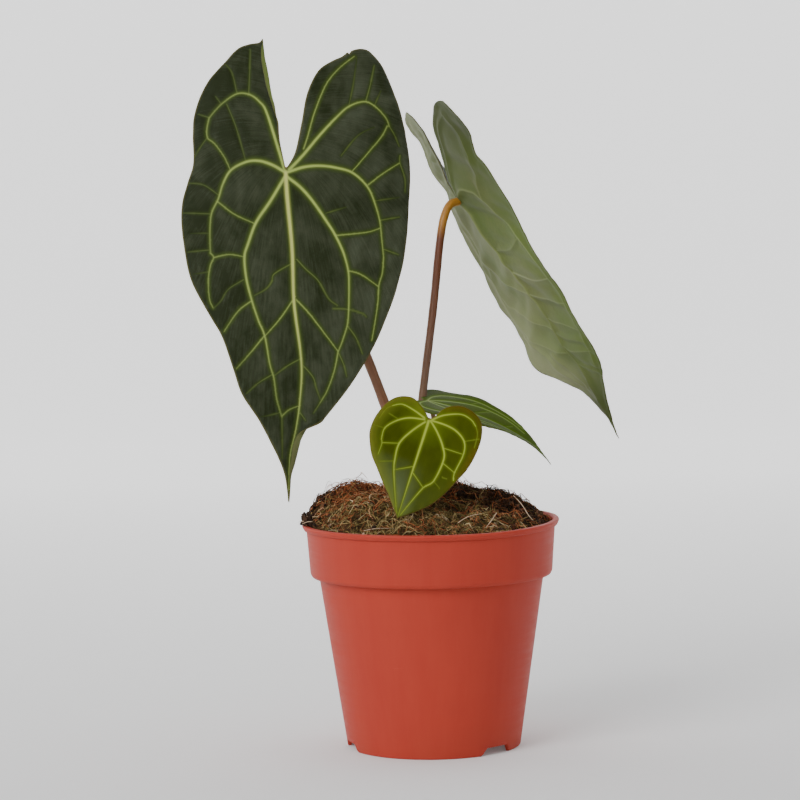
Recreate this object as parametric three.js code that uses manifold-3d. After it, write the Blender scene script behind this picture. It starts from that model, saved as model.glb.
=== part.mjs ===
// A young velvet-leaved anthurium in a plastic nursery pot.
// Millimetres and degrees, +Z up. Shapes are given in the pot's frame: the pot's axis is
// x = y = 0, its feet stand on z = 0, and the plant's front is towards -Y. At the end the whole
// is shifted so that the origin lies under the middle of its bounding box.
import * as THREE from 'three';
import { mergeVertices } from 'three/addons/utils/BufferGeometryUtils.js';
import Module from 'manifold-3d';

const wasm = await Module();
wasm.setup();

// Clearance between pieces that touch in the real thing.
const GAP = 0.3;

// The pot: a thin conical wall on three feet, a wider collar above a shoulder, and a rolled lip.
const POT = {
  height: 104.3,
  wall: 1.2,
  footRadius: 40.4,
  footWidth: 1.8,
  shoulderRadius: 52.3,
  shoulderZ: 79.5,
  collarLowRadius: 56.4,
  collarLowZ: 81.4,
  collarTopRadius: 57.9,
  lipRadius: 60,
  lipHeight: 2.8,
  floorZ: 4.2,
  segments: 48,
};
const NOTCH = { height: 3.4, width: 18.4, slope: 2.6, centres: [47, 167, 287] };
const DRAIN = { radius: 4, circle: 29, count: 6, sides: 12 };

// The potting mix heaped in the pot, with a coir clump on the left and a lump on the right.
const SOIL = {
  edgeZ: 103.8,
  edgeLeft: 1.3,
  edgeFront: 1.4,
  rise: 15.5,
  steepness: 4.5,
  steepnessLeft: 1.5,
  steepnessFront: 2.6,
  rings: [6, 12, 18, 24, 30, 36, 42, 47.5, 52.5],
  lumps: [
    { x: -36, y: -2, height: 4.6, spread: 11 },
    { x: -46, y: 12, height: 3, spread: 10 },
    { x: 12, y: 6, height: 2.4, spread: 7 },
    { x: 30, y: 4, height: 2.6, spread: 12 },
    { x: 8, y: 34, height: 2.5, spread: 14 },
  ],
  ripple: 0.9,
};

// The short stem that every leaf stalk grows from, standing in the mix.
const CROWN = { x: -6.5, y: 0.5, bottomZ: 88, topZ: 125, radius: 8.4, sides: 16 };

// Blades. Outlines are flat, seen on the upper face with the tip hanging down: x to the right,
// y up from the stalk to the lobes and down to the tip. Stations are [y, value]: slope bends the
// midrib, fold lifts each half at the midrib and roll curves it out to its margin, all in degrees.
const BLADE_THICKNESS = 0.8;
const RIB_SINK = 0.1;
const LEAF_LEFT = {
  name: 'left',
  base: [-63.5, -16, 267.5],
  along: [0.03, 0.16, 1],
  face: [0.1, -1, 0],
  length: 149,
  sinus: 1.5,
  halfWidth: 56,
  rowHeight: 7,
  lobeRows: 9,
  columns: 5,
  right: [
    [0, 1.5], [4.5, 9], [7.5, 23], [10, 38], [15, 49], [20.5, 54.5], [27.5, 59], [35, 63],
    [39.5, 62], [46, 54], [51.5, 40], [57, 22], [59, 2], [58, -20], [56, -37], [52.5, -52],
    [47.5, -67], [41.5, -80], [31, -96], [20, -110], [12, -118.5], [8.2, -124.5], [6.9, -135],
    [5.7, -149],
  ],
  left: [
    [0, 1.5], [-4, 16], [-6, 30], [-8, 46], [-9.6, 58], [-12, 63], [-18, 61.5], [-22.5, 59.5],
    [-28, 53], [-35, 44.5], [-39, 37], [-42, 27], [-42.5, 17], [-42, 4], [-44.5, -5], [-47, -14],
    [-47.5, -23], [-44, -45], [-40, -54], [-32, -66.5], [-26.5, -76], [-21, -91], [-17, -102],
    [-9.5, -113.5], [-3, -125], [2, -134], [5.7, -149],
  ],
  sway: [[60, 0], [0, 0], [-36, 3.6], [-60, 5], [-88, 9], [-106, 8.4], [-122, 6.5], [-149, 5.7]],
  slope: [[63, -14], [0, 0], [-100, 5], [-149, 8]],
  foldRight: [[60, -4], [0, 0], [-100, 6], [-150, 20]],
  foldLeft: [[60, -4], [0, 0], [-100, 6], [-150, 20]],
  roll: [[60, -10], [0, -18], [-100, -14]],
  wave: { height: 1.6, length: 34 },
  midrib: { width: 2.4, depth: 0.9, end: -128 },
  laterals: { width: 1.7, depth: 0.5 },
  veins: [
    [[0.5, -2], [14, -14.5], [23.5, -28.5], [29, -45], [30, -69], [25, -82], [18, -104]],
    [[-0.5, -3], [-8, -12], [-14, -23.5], [-18, -39.5], [-15, -60], [-8, -75.5], [-4.5, -93.5], [-1, -108]],
    [[1, 0], [15, 3.5], [30, 1], [39, -5.5], [44, -20.5], [46, -34.5], [44.5, -50]],
    [[-1, 0.5], [-13.5, 5], [-25, 0], [-31, -12], [-34, -21.5], [-33.5, -38], [-34, -51]],
    [[1, 1], [15.5, 18], [29, 33.5], [37, 35.5], [45, 30], [47.5, 24.5]],
    [[-1, 2], [-10.5, 29], [-21, 37], [-30.5, 32], [-35.5, 24.5]],
  ],
};
const LEAF_RIGHT = {
  name: 'right',
  base: [16, 20, 253.5],
  along: [-0.6, -0.03, 0.8],
  face: [0.786, 0.309, 0.533],
  length: 134,
  sinus: 1.5,
  halfWidth: 49,
  rowHeight: 7,
  lobeRows: 8,
  columns: 5,
  right: [
    [0, 1.5], [4, 8], [8, 20], [12, 32], [17, 40], [24, 45], [31, 46], [38, 42], [44, 33], [48, 20],
    [49, 5], [48, -12], [46, -29], [42, -48], [38, -64], [33, -80], [26, -93], [15, -106], [7, -117],
    [3, -126], [0, -134],
  ],
  left: [
    [0, 1.5], [-4, 8], [-8, 20], [-12, 32], [-17, 40], [-24, 45], [-31, 46], [-38, 42], [-44, 33],
    [-48, 20], [-50, 5], [-49, -12], [-46, -29], [-42, -48], [-38, -64], [-33, -80], [-26, -94],
    [-16, -108], [-8, -118], [-3, -126], [0, -134],
  ],
  sway: [[0, 0]],
  slope: [[46, 20], [0, 1.5], [-60, 3], [-95, 4], [-134, 12]],
  foldRight: [[44, 13], [0, 11], [-25, 6], [-43, 2], [-59, -4], [-72, -11], [-88, -15], [-106, 1], [-134, 8]],
  foldLeft: [[44, 6], [0, 3], [-30, 0], [-60, -1], [-85, -1], [-106, 5], [-134, 8]],
  roll: [[0, 0]],
  wave: { height: 1.2, length: 40 },
  midrib: { width: 2.4, depth: 0.9, end: -116 },
  laterals: { width: 1.7, depth: 0.5 },
  veins: [
    [[0.5, -2], [10, -13], [19, -28], [23, -45], [22, -65], [16, -82], [9, -98]],
    [[-0.5, -2], [-10, -13], [-19, -28], [-23, -45], [-22, -65], [-16, -82], [-9, -98]],
    [[1, 0], [13, 4], [27, 1], [36, -8], [40, -22], [40, -38], [37, -52]],
    [[-1, 0], [-13, 4], [-27, 1], [-36, -8], [-40, -22], [-40, -38], [-37, -52]],
    [[1, 1], [11, 22], [22, 34], [31, 33], [38, 24]],
    [[-1, 1], [-11, 22], [-22, 34], [-31, 33], [-38, 24]],
  ],
};
const LEAF_FRONT = {
  name: 'front',
  base: [0, -31.5, 153.8],
  along: [0.34, 0.3, 1],
  face: [0, -1, 0.12],
  length: 46.5,
  sinus: 0.4,
  halfWidth: 24,
  rowHeight: 3.9,
  lobeRows: 5,
  columns: 4,
  right: [
    [0, 0.4], [2.1, 2.5], [4.6, 6.6], [7.7, 9], [12, 10.5], [16.4, 10.2], [20.4, 8], [23.4, 4.5],
    [24.7, -1.7], [23.5, -9.2], [21.2, -16.5], [17.7, -23.3], [14.2, -30.2], [9.9, -36.8], [5.1, -41.5],
    [-0.4, -46.5],
  ],
  left: [
    [0, 0.4], [-2.5, 2.9], [-5, 4.9], [-9.4, 7.2], [-14, 6.9], [-18, 4.4], [-21, 0], [-23.2, -6],
    [-23.4, -12.2], [-22.1, -16.5], [-19, -23], [-15, -27.6], [-11, -33], [-7.7, -36.8], [-4.5, -41],
    [-0.4, -46.5],
  ],
  sway: [[0, 0], [-46.5, -0.4]],
  slope: [[13, -10], [0, 0], [-47, 6]],
  foldRight: [[13, 0], [0, 2], [-47, 10]],
  foldLeft: [[13, 0], [0, 2], [-47, 10]],
  roll: [[0, 0]],
  wave: { height: 0.4, length: 22 },
  midrib: { width: 1.6, depth: 0.5, end: -40 },
  laterals: { width: 1.2, depth: 0.3 },
  veins: [
    [[0.5, -1], [5.5, -7], [9.5, -13.5], [11, -20], [8, -29]],
    [[-0.5, -1], [-6, -6], [-12, -13], [-12, -21], [-9, -29]],
    [[1, -0.5], [8, -1], [14, -4], [17.5, -10], [16.5, -17]],
    [[-1, -0.5], [-7, 0], [-14, -2.5], [-18, -7.5], [-18, -13]],
  ],
};
const LEAF_NARROW = {
  name: 'narrow',
  base: [-1, 2, 160.6],
  along: [-0.975, 0.05, 0.21],
  face: [0.21, -0.22, 0.97],
  length: 66,
  sinus: 1,
  halfWidth: 17,
  rowHeight: 4.7,
  lobeRows: 3,
  columns: 4,
  right: [
    [0, 1], [3, 0.9], [8, 0.2], [12.5, -1.2], [15.6, -4.5], [17, -10], [16.5, -21], [13.5, -35], [8, -48],
    [3, -58], [0, -66],
  ],
  left: [
    [0, 1], [-3, 5], [-8, 9], [-13, 8], [-16, 2], [-17, -8], [-16.5, -21], [-13.5, -35], [-8, -48],
    [-3, -58], [0, -66],
  ],
  sway: [[0, 0]],
  slope: [[12, -10], [0, 0], [-25, 10], [-45, 24], [-66, 42]],
  foldRight: [[12, 0], [0, 1], [-20, 7], [-45, 14], [-66, 14]],
  foldLeft: [[12, 3], [0, 3], [-66, 14]],
  roll: [[0, 0]],
  wave: { height: 0.5, length: 26 },
  midrib: { width: 1.6, depth: 0.5, end: -56 },
  laterals: { width: 1.2, depth: 0.3 },
  veins: [
    [[0.5, -1], [5, -9], [8.5, -22], [7.5, -36], [4, -48]],
    [[-0.5, -1], [-5, -9], [-8.5, -22], [-7.5, -36], [-4, -48]],
  ],
};

// Leaf stalks, from inside the crown to just under the blade they carry.
const STALK_SIDES = 8;
const STALK_LEFT = {
  radius: 1.8,
  foot: 2.2,
  joint: 2.1,
  steps: 16,
  path: [
    [-6.4, -1, 117], [-8.6, -1.3, 124], [-18.8, -2.2, 151.5], [-35.2, -4, 194], [-52.5, -6, 239],
    [-60.5, -7.4, 259.5], [-63, -9.4, 265.8], [-63.4, -12.5, 267.4], [-63.5, -15.4, 267.5],
  ],
};
const STALK_RIGHT = {
  radius: 1.45,
  foot: 1.8,
  joint: 1.7,
  steps: 20,
  path: [
    [-8.6, 3.2, 117], [-7.8, 3.9, 125], [-3.5, 7.8, 163], [1.4, 11, 205], [5, 13.8, 236], [7.5, 15, 246.5],
    [10.9, 16.8, 251.8], [15.6, 19.7, 253.4],
  ],
};
const STALK_FRONT = {
  radius: 1.15,
  foot: 1.4,
  joint: 1.3,
  steps: 12,
  path: [
    [-5.2, -3.6, 117], [-4.8, -5.4, 124], [-4.6, -12, 138], [-3.4, -20.5, 148.8], [-1.4, -27, 153],
    [0, -30.9, 153.7],
  ],
};
const STALK_NARROW = {
  radius: 1.1,
  foot: 1.4,
  joint: 1.2,
  steps: 10,
  path: [
    [-3.8, 1.8, 117], [-2.6, 2.2, 124], [0.9, 2.8, 136], [2.3, 2.8, 148], [1.4, 2.4, 156.4], [-0.9, 2.1, 160.2],
  ],
};

// Materials, in the colours the pieces have.
const finish = (color, roughness, metalness = 0) => new THREE.MeshStandardMaterial({ color, roughness, metalness });
const POT_FINISH = () => finish(0xb4533f, 0.5);
const SOIL_FINISH = () => finish(0x4a3427, 0.95);
const CROWN_FINISH = () => finish(0x6f5a3c, 0.8);
const STALK_FINISH = { left: 0x6b4a3a, right: 0x6e4c38, front: 0x8a5a3a, narrow: 0x8a5a3a };
const BLADE_FINISH = { left: 0x2f4a33, right: 0x3a5238, front: 0x5d6a1c, narrow: 0x3d5c2c };

// Turns a closed geometry into a solid that can be cut and joined.
function solid(geometry) {
  const bare = geometry.clone();
  bare.deleteAttribute('normal');
  bare.deleteAttribute('uv');
  const welded = mergeVertices(bare, 1e-4);
  return new wasm.Manifold(
    new wasm.Mesh({
      numProp: 3,
      vertProperties: new Float32Array(welded.attributes.position.array),
      triVerts: new Uint32Array(welded.index.array),
    }),
  );
}

// Gives a solid's surface back as a geometry.
function surfaceOf(body) {
  const mesh = body.getMesh();
  const geometry = new THREE.BufferGeometry();
  geometry.setAttribute('position', new THREE.BufferAttribute(mesh.vertProperties, 3));
  geometry.setIndex(new THREE.BufferAttribute(mesh.triVerts, 1));
  geometry.computeVertexNormals();
  return geometry;
}

// A closed surface from corners and triangles.
function closedSurface(corners, triangles) {
  const geometry = new THREE.BufferGeometry();
  geometry.setAttribute('position', new THREE.Float32BufferAttribute(corners.flatMap((p) => [p.x, p.y, p.z]), 3));
  geometry.setIndex(triangles.flat());
  return geometry;
}

// A profile of [radius, z] points turned about the Z axis.
function turned(profile, segments) {
  const points = profile.map(([radius, z]) => new THREE.Vector2(radius, z));
  return new THREE.LatheGeometry(points, segments).rotateX(Math.PI / 2);
}

const radians = THREE.MathUtils.degToRad;
const lerp = THREE.MathUtils.lerp;

// The value at y of a smooth curve through [y, value] stations, level beyond both ends.
function through(stations, y) {
  const s = [...stations].sort((a, b) => a[0] - b[0]);
  const last = s.length - 1;
  if (y <= s[0][0]) return s[0][1];
  if (y >= s[last][0]) return s[last][1];
  const i = s.findIndex((station) => station[0] > y) - 1;
  const steepness = (k) => (k === 0 || k === last ? 0 : (s[k + 1][1] - s[k - 1][1]) / (s[k + 1][0] - s[k - 1][0]));
  const h = s[i + 1][0] - s[i][0];
  const t = (y - s[i][0]) / h;
  return s[i][1] * (1 + 2 * t) * (1 - t) ** 2 + s[i + 1][1] * t * t * (3 - 2 * t)
    + h * (steepness(i) * t * (1 - t) ** 2 - steepness(i + 1) * t * t * (1 - t));
}

// A blade's middle surface: the flat outline folded at the midrib, rolled, waved and bent.
function bladeSurface(leaf) {
  const along = new THREE.Vector3(...leaf.along).normalize();
  const face = new THREE.Vector3(...leaf.face);
  face.addScaledVector(along, -face.dot(along)).normalize();
  const across = new THREE.Vector3().crossVectors(along, face);
  const base = new THREE.Vector3(...leaf.base);

  // The midrib's way up and out, summed in short steps from the stalk.
  const step = 0.5;
  const spine = (y) => {
    const parts = Math.max(1, Math.round(Math.abs(y) / step));
    const part = y / parts;
    let up = 0;
    let out = 0;
    for (let k = 0; k < parts; k += 1) {
      const slope = radians(through(leaf.slope, (k + 0.5) * part));
      up += part * Math.cos(slope);
      out += part * Math.sin(slope);
    }
    return [up, out];
  };

  const at = (x, y) => {
    const middle = through(leaf.sway, y);
    const side = x >= middle ? 1 : -1;
    const reach = Math.abs(x - middle);
    const fold = radians(through(side > 0 ? leaf.foldRight : leaf.foldLeft, y));
    const bend = radians(through(leaf.roll, y)) / leaf.halfWidth || 1e-7;
    const share = THREE.MathUtils.clamp((reach / leaf.halfWidth - 0.3) / 0.7, 0, 1.3);
    const ripple = leaf.wave.height * share ** 2 * Math.sin((2 * Math.PI * y) / leaf.wave.length + side * 0.9);
    const width = (Math.sin(fold + bend * reach) - Math.sin(fold)) / bend;
    const lift = (Math.cos(fold) - Math.cos(fold + bend * reach)) / bend + ripple;
    const slope = radians(through(leaf.slope, y));
    const [up, out] = spine(y);
    return base.clone()
      .addScaledVector(across, middle + side * width)
      .addScaledVector(along, up - lift * Math.sin(slope))
      .addScaledVector(face, out + lift * Math.cos(slope));
  };
  const normal = (x, y) => {
    const d = 0.4;
    const dx = at(x + d, y).sub(at(x - d, y));
    const dy = at(x, y + d).sub(at(x, y - d));
    return dx.cross(dy).normalize();
  };
  return { at, normal };
}

// One half's outline, parted at the lobe's top into the edge beside the sinus and the outer margin.
function margins(outline) {
  const curve = new THREE.SplineCurve(outline.map(([x, y]) => new THREE.Vector2(x, y)));
  const points = curve.getPoints((outline.length - 1) * 8);
  const top = points.reduce((best, p, i) => (p.y > points[best].y ? i : best), 0);
  return { top: points[top], inner: points.slice(0, top + 1), outer: points.slice(top).reverse() };
}

// The x of a rising edge at a height y.
function edgeAt(edge, y) {
  const i = edge.findIndex((p) => p.y >= y);
  if (i <= 0) return edge[i === 0 ? 0 : edge.length - 1].x;
  const [low, high] = [edge[i - 1], edge[i]];
  return lerp(low.x, high.x, (y - low.y) / (high.y - low.y));
}

// The flat blade as rows of triangles across each half, both halves sharing the midrib.
function flatBlade(leaf) {
  const points = [];
  const triangles = [];
  const known = new Map();
  const corner = (x, y) => {
    const key = `${x.toFixed(3)} ${y.toFixed(3)}`;
    if (!known.has(key)) {
      known.set(key, points.length);
      points.push([x, y]);
    }
    return known.get(key);
  };
  const addTriangle = (a, b, c) => {
    if (a === b || b === c || c === a) return;
    const [p, q, r] = [points[a], points[b], points[c]];
    const area = (q[0] - p[0]) * (r[1] - p[1]) - (r[0] - p[0]) * (q[1] - p[1]);
    triangles.push(area > 0 ? [a, b, c] : [a, c, b]);
  };
  for (const outline of [leaf.right, leaf.left]) {
    const { top, inner, outer } = margins(outline);
    const rows = [];
    for (let j = leaf.lobeRows; j > 0; j -= 1) {
      const y = lerp(leaf.sinus, top.y, Math.sin((Math.PI / 2) * (j / leaf.lobeRows)));
      rows.push({ y, from: edgeAt(inner, y), to: edgeAt(outer, y) });
    }
    const count = Math.round((leaf.sinus + leaf.length) / leaf.rowHeight);
    for (let j = 0; j <= count; j += 1) {
      const y = lerp(leaf.sinus, -leaf.length, j / count);
      rows.push({ y, from: j < count ? through(leaf.sway, y) : edgeAt(outer, y), to: edgeAt(outer, y) });
    }
    const grid = rows.map(({ y, from, to }) => {
      const row = [];
      for (let k = 0; k <= leaf.columns; k += 1) row.push(corner(lerp(from, to, k / leaf.columns), y));
      return row;
    });
    for (let j = 0; j < grid.length - 1; j += 1) {
      for (let k = 0; k < leaf.columns; k += 1) {
        addTriangle(grid[j][k], grid[j + 1][k], grid[j + 1][k + 1]);
        addTriangle(grid[j][k], grid[j + 1][k + 1], grid[j][k + 1]);
      }
    }
  }
  return { points, triangles };
}

// Gives a flat blade its form and thickness: an upper face, the same triangles below, and a rim.
function thickBlade(leaf, surface, thickness) {
  const { points, triangles } = flatBlade(leaf);
  const upper = [];
  const lower = [];
  for (const [x, y] of points) {
    const middle = surface.at(x, y);
    const normal = surface.normal(x, y);
    upper.push(middle.clone().addScaledVector(normal, thickness / 2));
    lower.push(middle.clone().addScaledVector(normal, -thickness / 2));
  }
  const n = points.length;
  const faces = [...triangles, ...triangles.map(([a, b, c]) => [a + n, c + n, b + n])];
  const edges = new Set(triangles.flatMap(([a, b, c]) => [`${a} ${b}`, `${b} ${c}`, `${c} ${a}`]));
  for (const edge of edges) {
    const [a, b] = edge.split(' ').map(Number);
    if (!edges.has(`${b} ${a}`)) faces.push([a + n, b + n, b], [a + n, b, a]);
  }
  return closedSurface([...upper, ...lower], faces);
}

// A three-sided rib along a vein, its flat side in the blade and its edge standing out below.
function rib(surface, vein, width, depth, thickness) {
  const curve = new THREE.SplineCurve(vein.map(([x, y]) => new THREE.Vector2(x, y)));
  const steps = Math.max(6, Math.round(curve.getLength() / 9));
  const corners = [];
  const faces = [];
  for (let i = 0; i <= steps; i += 1) {
    const flat = curve.getPointAt(i / steps);
    const ahead = curve.getTangentAt(i / steps);
    const half = lerp(width, width * 0.45, i / steps) / 2;
    const drop = thickness / 2 + lerp(depth, depth * 0.5, i / steps);
    const middle = surface.at(flat.x, flat.y);
    const normal = surface.normal(flat.x, flat.y);
    const onwards = surface.at(flat.x + ahead.x * 0.2, flat.y + ahead.y * 0.2).sub(middle);
    const sideways = new THREE.Vector3().crossVectors(normal, onwards).normalize();
    const seat = middle.clone().addScaledVector(normal, -RIB_SINK);
    corners.push(
      seat.clone().addScaledVector(sideways, half),
      seat.clone().addScaledVector(sideways, -half),
      middle.clone().addScaledVector(normal, -drop),
    );
    if (i === 0) continue;
    const a = 3 * (i - 1);
    for (let k = 0; k < 3; k += 1) {
      const m = (k + 1) % 3;
      faces.push([a + k, a + m, a + 3 + m], [a + k, a + 3 + m, a + 3 + k]);
    }
  }
  const end = 3 * steps;
  faces.push([0, 2, 1], [end, end + 1, end + 2]);
  return closedSurface(corners, faces);
}

// A blade with its midrib and main veins standing out below. Grown by extra all round, it cuts
// the stalk so that a gap stays between them.
function bladeSolid(leaf, extra = 0) {
  const surface = bladeSurface(leaf);
  const thickness = BLADE_THICKNESS + 2 * extra;
  let blade = solid(thickBlade(leaf, surface, thickness));
  const midrib = [];
  for (let k = 0; k <= 6; k += 1) {
    const y = lerp(-0.8, leaf.midrib.end, k / 6);
    midrib.push([through(leaf.sway, y), y]);
  }
  blade = blade.add(solid(rib(surface, midrib, leaf.midrib.width + 2 * extra, leaf.midrib.depth, thickness)));
  for (const vein of leaf.veins) {
    blade = blade.add(solid(rib(surface, vein, leaf.laterals.width + 2 * extra, leaf.laterals.depth, thickness)));
  }
  return blade;
}

// The crown: a stubby turned stem with the rings of shed leaves, grown by extra all round.
function crownSolid(extra = 0) {
  const height = CROWN.topZ - CROWN.bottomZ;
  const rings = [
    [0.45, 0], [0.7, 0.12], [0.66, 0.3], [0.84, 0.42], [0.8, 0.6], [1, 0.7], [0.97, 0.86], [0.7, 0.97],
  ];
  const profile = [[0, CROWN.bottomZ - extra]];
  for (const [share, up] of rings) profile.push([share * CROWN.radius + extra, CROWN.bottomZ + up * height]);
  profile[1][1] -= extra;
  profile[rings.length][1] += extra;
  profile.push([0, CROWN.topZ + extra]);
  return solid(turned(profile, CROWN.sides).translate(CROWN.x, CROWN.y, 0));
}

// A tapering round stalk, thicker at its foot and at the joint under the blade.
function stalkSolid(stalk) {
  const curve = new THREE.CatmullRomCurve3(stalk.path.map((p) => new THREE.Vector3(...p)), false, 'centripetal');
  const frames = curve.computeFrenetFrames(stalk.steps);
  const corners = [];
  const faces = [];
  for (let i = 0; i <= stalk.steps; i += 1) {
    const t = i / stalk.steps;
    const foot = Math.max(0, 1 - t / 0.18);
    const joint = Math.max(0, 1 - (1 - t) / 0.1);
    const radius = stalk.radius + (stalk.foot - stalk.radius) * foot + (stalk.joint - stalk.radius) * joint;
    const centre = curve.getPointAt(t);
    for (let k = 0; k < STALK_SIDES; k += 1) {
      const turn = (2 * Math.PI * k) / STALK_SIDES;
      corners.push(
        centre.clone()
          .addScaledVector(frames.normals[i], radius * Math.cos(turn))
          .addScaledVector(frames.binormals[i], radius * Math.sin(turn)),
      );
      if (i === 0) continue;
      const a = (i - 1) * STALK_SIDES + k;
      const b = (i - 1) * STALK_SIDES + ((k + 1) % STALK_SIDES);
      faces.push([a, b, b + STALK_SIDES], [a, b + STALK_SIDES, a + STALK_SIDES]);
    }
  }
  const end = stalk.steps * STALK_SIDES;
  for (let k = 1; k < STALK_SIDES - 1; k += 1) {
    faces.push([0, k + 1, k], [end, end + k, end + k + 1]);
  }
  return solid(closedSurface(corners, faces));
}

// The pot's profile, from the middle of its underside round to the middle of its floor.
function potProfile() {
  const { height, wall, footRadius, footWidth, shoulderRadius, shoulderZ, floorZ } = POT;
  const { collarLowRadius, collarLowZ, collarTopRadius, lipRadius, lipHeight } = POT;
  const lipZ = height - lipHeight;
  const floorRadius = footRadius + (shoulderRadius - footRadius) * ((floorZ + wall) / shoulderZ) - wall;
  return [
    [0, floorZ], [footRadius - footWidth + 0.3, floorZ], [footRadius - footWidth, 0], [footRadius, 0],
    [shoulderRadius, shoulderZ], [lerp(shoulderRadius, collarLowRadius, 0.7), shoulderZ + 0.4],
    [collarLowRadius, collarLowZ], [collarTopRadius, lipZ], [lipRadius - 0.5, lipZ + 0.5],
    [lipRadius, height - 1.4], [lipRadius - 0.4, height - 0.4], [lipRadius - 1.1, height],
    [collarTopRadius - 0.4, height], [collarTopRadius - wall, height - 0.9],
    [collarLowRadius - wall, collarLowZ + 0.8], [collarLowRadius - wall - 0.8, collarLowZ - 0.2],
    [shoulderRadius - wall + 0.1, shoulderZ + wall], [floorRadius, floorZ + wall], [0, floorZ + wall],
  ];
}

// The pot, with three notches between its feet and drain holes in its floor.
function potSolid() {
  let pot = solid(turned(potProfile(), POT.segments));
  const reach = 14;
  const side = new THREE.Shape([
    new THREE.Vector2(-NOTCH.width / 2 - NOTCH.slope / 2, -1),
    new THREE.Vector2(NOTCH.width / 2 + NOTCH.slope / 2, -1),
    new THREE.Vector2(NOTCH.width / 2 - NOTCH.slope, NOTCH.height),
    new THREE.Vector2(-NOTCH.width / 2 + NOTCH.slope, NOTCH.height),
  ]);
  for (const centre of NOTCH.centres) {
    const notch = new THREE.ExtrudeGeometry(side, { depth: reach, bevelEnabled: false });
    notch.rotateX(Math.PI / 2).translate(0, -POT.footRadius + reach / 2, 0).rotateZ(radians(centre));
    pot = pot.subtract(solid(notch));
  }
  for (let k = 0; k < DRAIN.count; k += 1) {
    const turn = (2 * Math.PI * k) / DRAIN.count;
    const hole = new THREE.CylinderGeometry(DRAIN.radius, DRAIN.radius, 4, DRAIN.sides).rotateX(Math.PI / 2);
    hole.translate(DRAIN.circle * Math.cos(turn), DRAIN.circle * Math.sin(turn), POT.floorZ + POT.wall / 2);
    pot = pot.subtract(solid(hole));
  }
  return pot;
}

// The height of the potting mix.
function soilHeight(x, y) {
  const r = Math.hypot(x, y) || 1e-6;
  const [right, back] = [x / r, y / r];
  const edge = SOIL.edgeZ - SOIL.edgeLeft * right + SOIL.edgeFront * back;
  const steepness = SOIL.steepness - SOIL.steepnessLeft * right + SOIL.steepnessFront * back;
  const inside = 1 - (r / (POT.collarTopRadius - POT.wall)) ** steepness;
  let z = edge + SOIL.rise * inside;
  for (const lump of SOIL.lumps) {
    z += lump.height * Math.exp(-(((x - lump.x) ** 2 + (y - lump.y) ** 2) / lump.spread ** 2));
  }
  const rough = Math.sin(0.41 * x + 1.3) * Math.sin(0.37 * y + 0.4) + 0.6 * Math.sin(0.73 * x - 0.52 * y);
  return z + SOIL.ripple * rough * Math.min(1, 3 * inside);
}

// The potting mix: a body that follows the pot's inside, under a heaped, lumpy top.
function soilSolid() {
  const { wall, collarTopRadius, collarLowRadius, collarLowZ, shoulderRadius, shoulderZ, segments } = POT;
  const top = collarTopRadius - wall - GAP - 0.05;
  const floorTop = POT.floorZ + wall + GAP;
  const floorRadius = POT.footRadius + (shoulderRadius - POT.footRadius) * (floorTop / shoulderZ) - wall - GAP;
  const sides = [
    [collarLowRadius - wall - GAP, collarLowZ + 1.1], [collarLowRadius - wall - 0.8 - GAP, collarLowZ + 0.3],
    [shoulderRadius - wall - GAP - 0.1, shoulderZ + wall + GAP], [floorRadius, floorTop],
  ];
  const corners = [new THREE.Vector3(0, 0, soilHeight(0, 0))];
  const rings = [...SOIL.rings, top].map((r) => [r, null]).concat(sides);
  for (const [r, z] of rings) {
    for (let k = 0; k < segments; k += 1) {
      const turn = (2 * Math.PI * k) / segments;
      const [x, y] = [r * Math.cos(turn), r * Math.sin(turn)];
      corners.push(new THREE.Vector3(x, y, z ?? soilHeight(x, y)));
    }
  }
  corners.push(new THREE.Vector3(0, 0, floorTop));
  const faces = [];
  const last = corners.length - 1;
  for (let k = 0; k < segments; k += 1) {
    const m = (k + 1) % segments;
    faces.push([0, 1 + k, 1 + m]);
    for (let ring = 0; ring < rings.length - 1; ring += 1) {
      const a = 1 + ring * segments;
      const b = a + segments;
      faces.push([a + k, b + k, b + m], [a + k, b + m, a + m]);
    }
    const low = last - segments;
    faces.push([low + k, last, low + m]);
  }
  return solid(closedSurface(corners, faces));
}

const plant = new THREE.Group();

function addPiece(name, body, material) {
  const mesh = new THREE.Mesh(surfaceOf(body), material);
  mesh.name = name;
  plant.add(mesh);
}

// Pot, potting mix and crown. The mix has a plain hole for the crown.
const crownCutter = crownSolid(GAP);
addPiece('pot', potSolid(), POT_FINISH());
addPiece('soil', soilSolid().subtract(crownCutter), SOIL_FINISH());
addPiece('crown', crownSolid(), CROWN_FINISH());

// Each leaf: a blade and the stalk that carries it from the crown.
const LEAVES = [
  [LEAF_LEFT, STALK_LEFT],
  [LEAF_RIGHT, STALK_RIGHT],
  [LEAF_FRONT, STALK_FRONT],
  [LEAF_NARROW, STALK_NARROW],
];
for (const [leaf, stalk] of LEAVES) {
  addPiece(`blade_${leaf.name}`, bladeSolid(leaf), finish(BLADE_FINISH[leaf.name], 0.6));
  const held = stalkSolid(stalk).subtract(crownCutter).subtract(bladeSolid(leaf, GAP));
  addPiece(`stalk_${leaf.name}`, held, finish(STALK_FINISH[leaf.name], 0.55));
}

// The origin goes under the middle of the whole, on the surface the pot stands on.
const middle = new THREE.Box3().setFromObject(plant).getCenter(new THREE.Vector3());
plant.position.set(-middle.x, -middle.y, 0);
plant.updateMatrixWorld(true);

export default plant;
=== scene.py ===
"""The looks of a young potted anthurium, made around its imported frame.

Shapes are worked out in millimetres in the pot's frame, where the pot's axis is x = y = 0, and
put() brings them into the row frame, in metres.
"""
import math

import bpy
import numpy as np
from mathutils import Matrix, Vector, kdtree, noise
from mathutils.geometry import delaunay_2d_cdt


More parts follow.
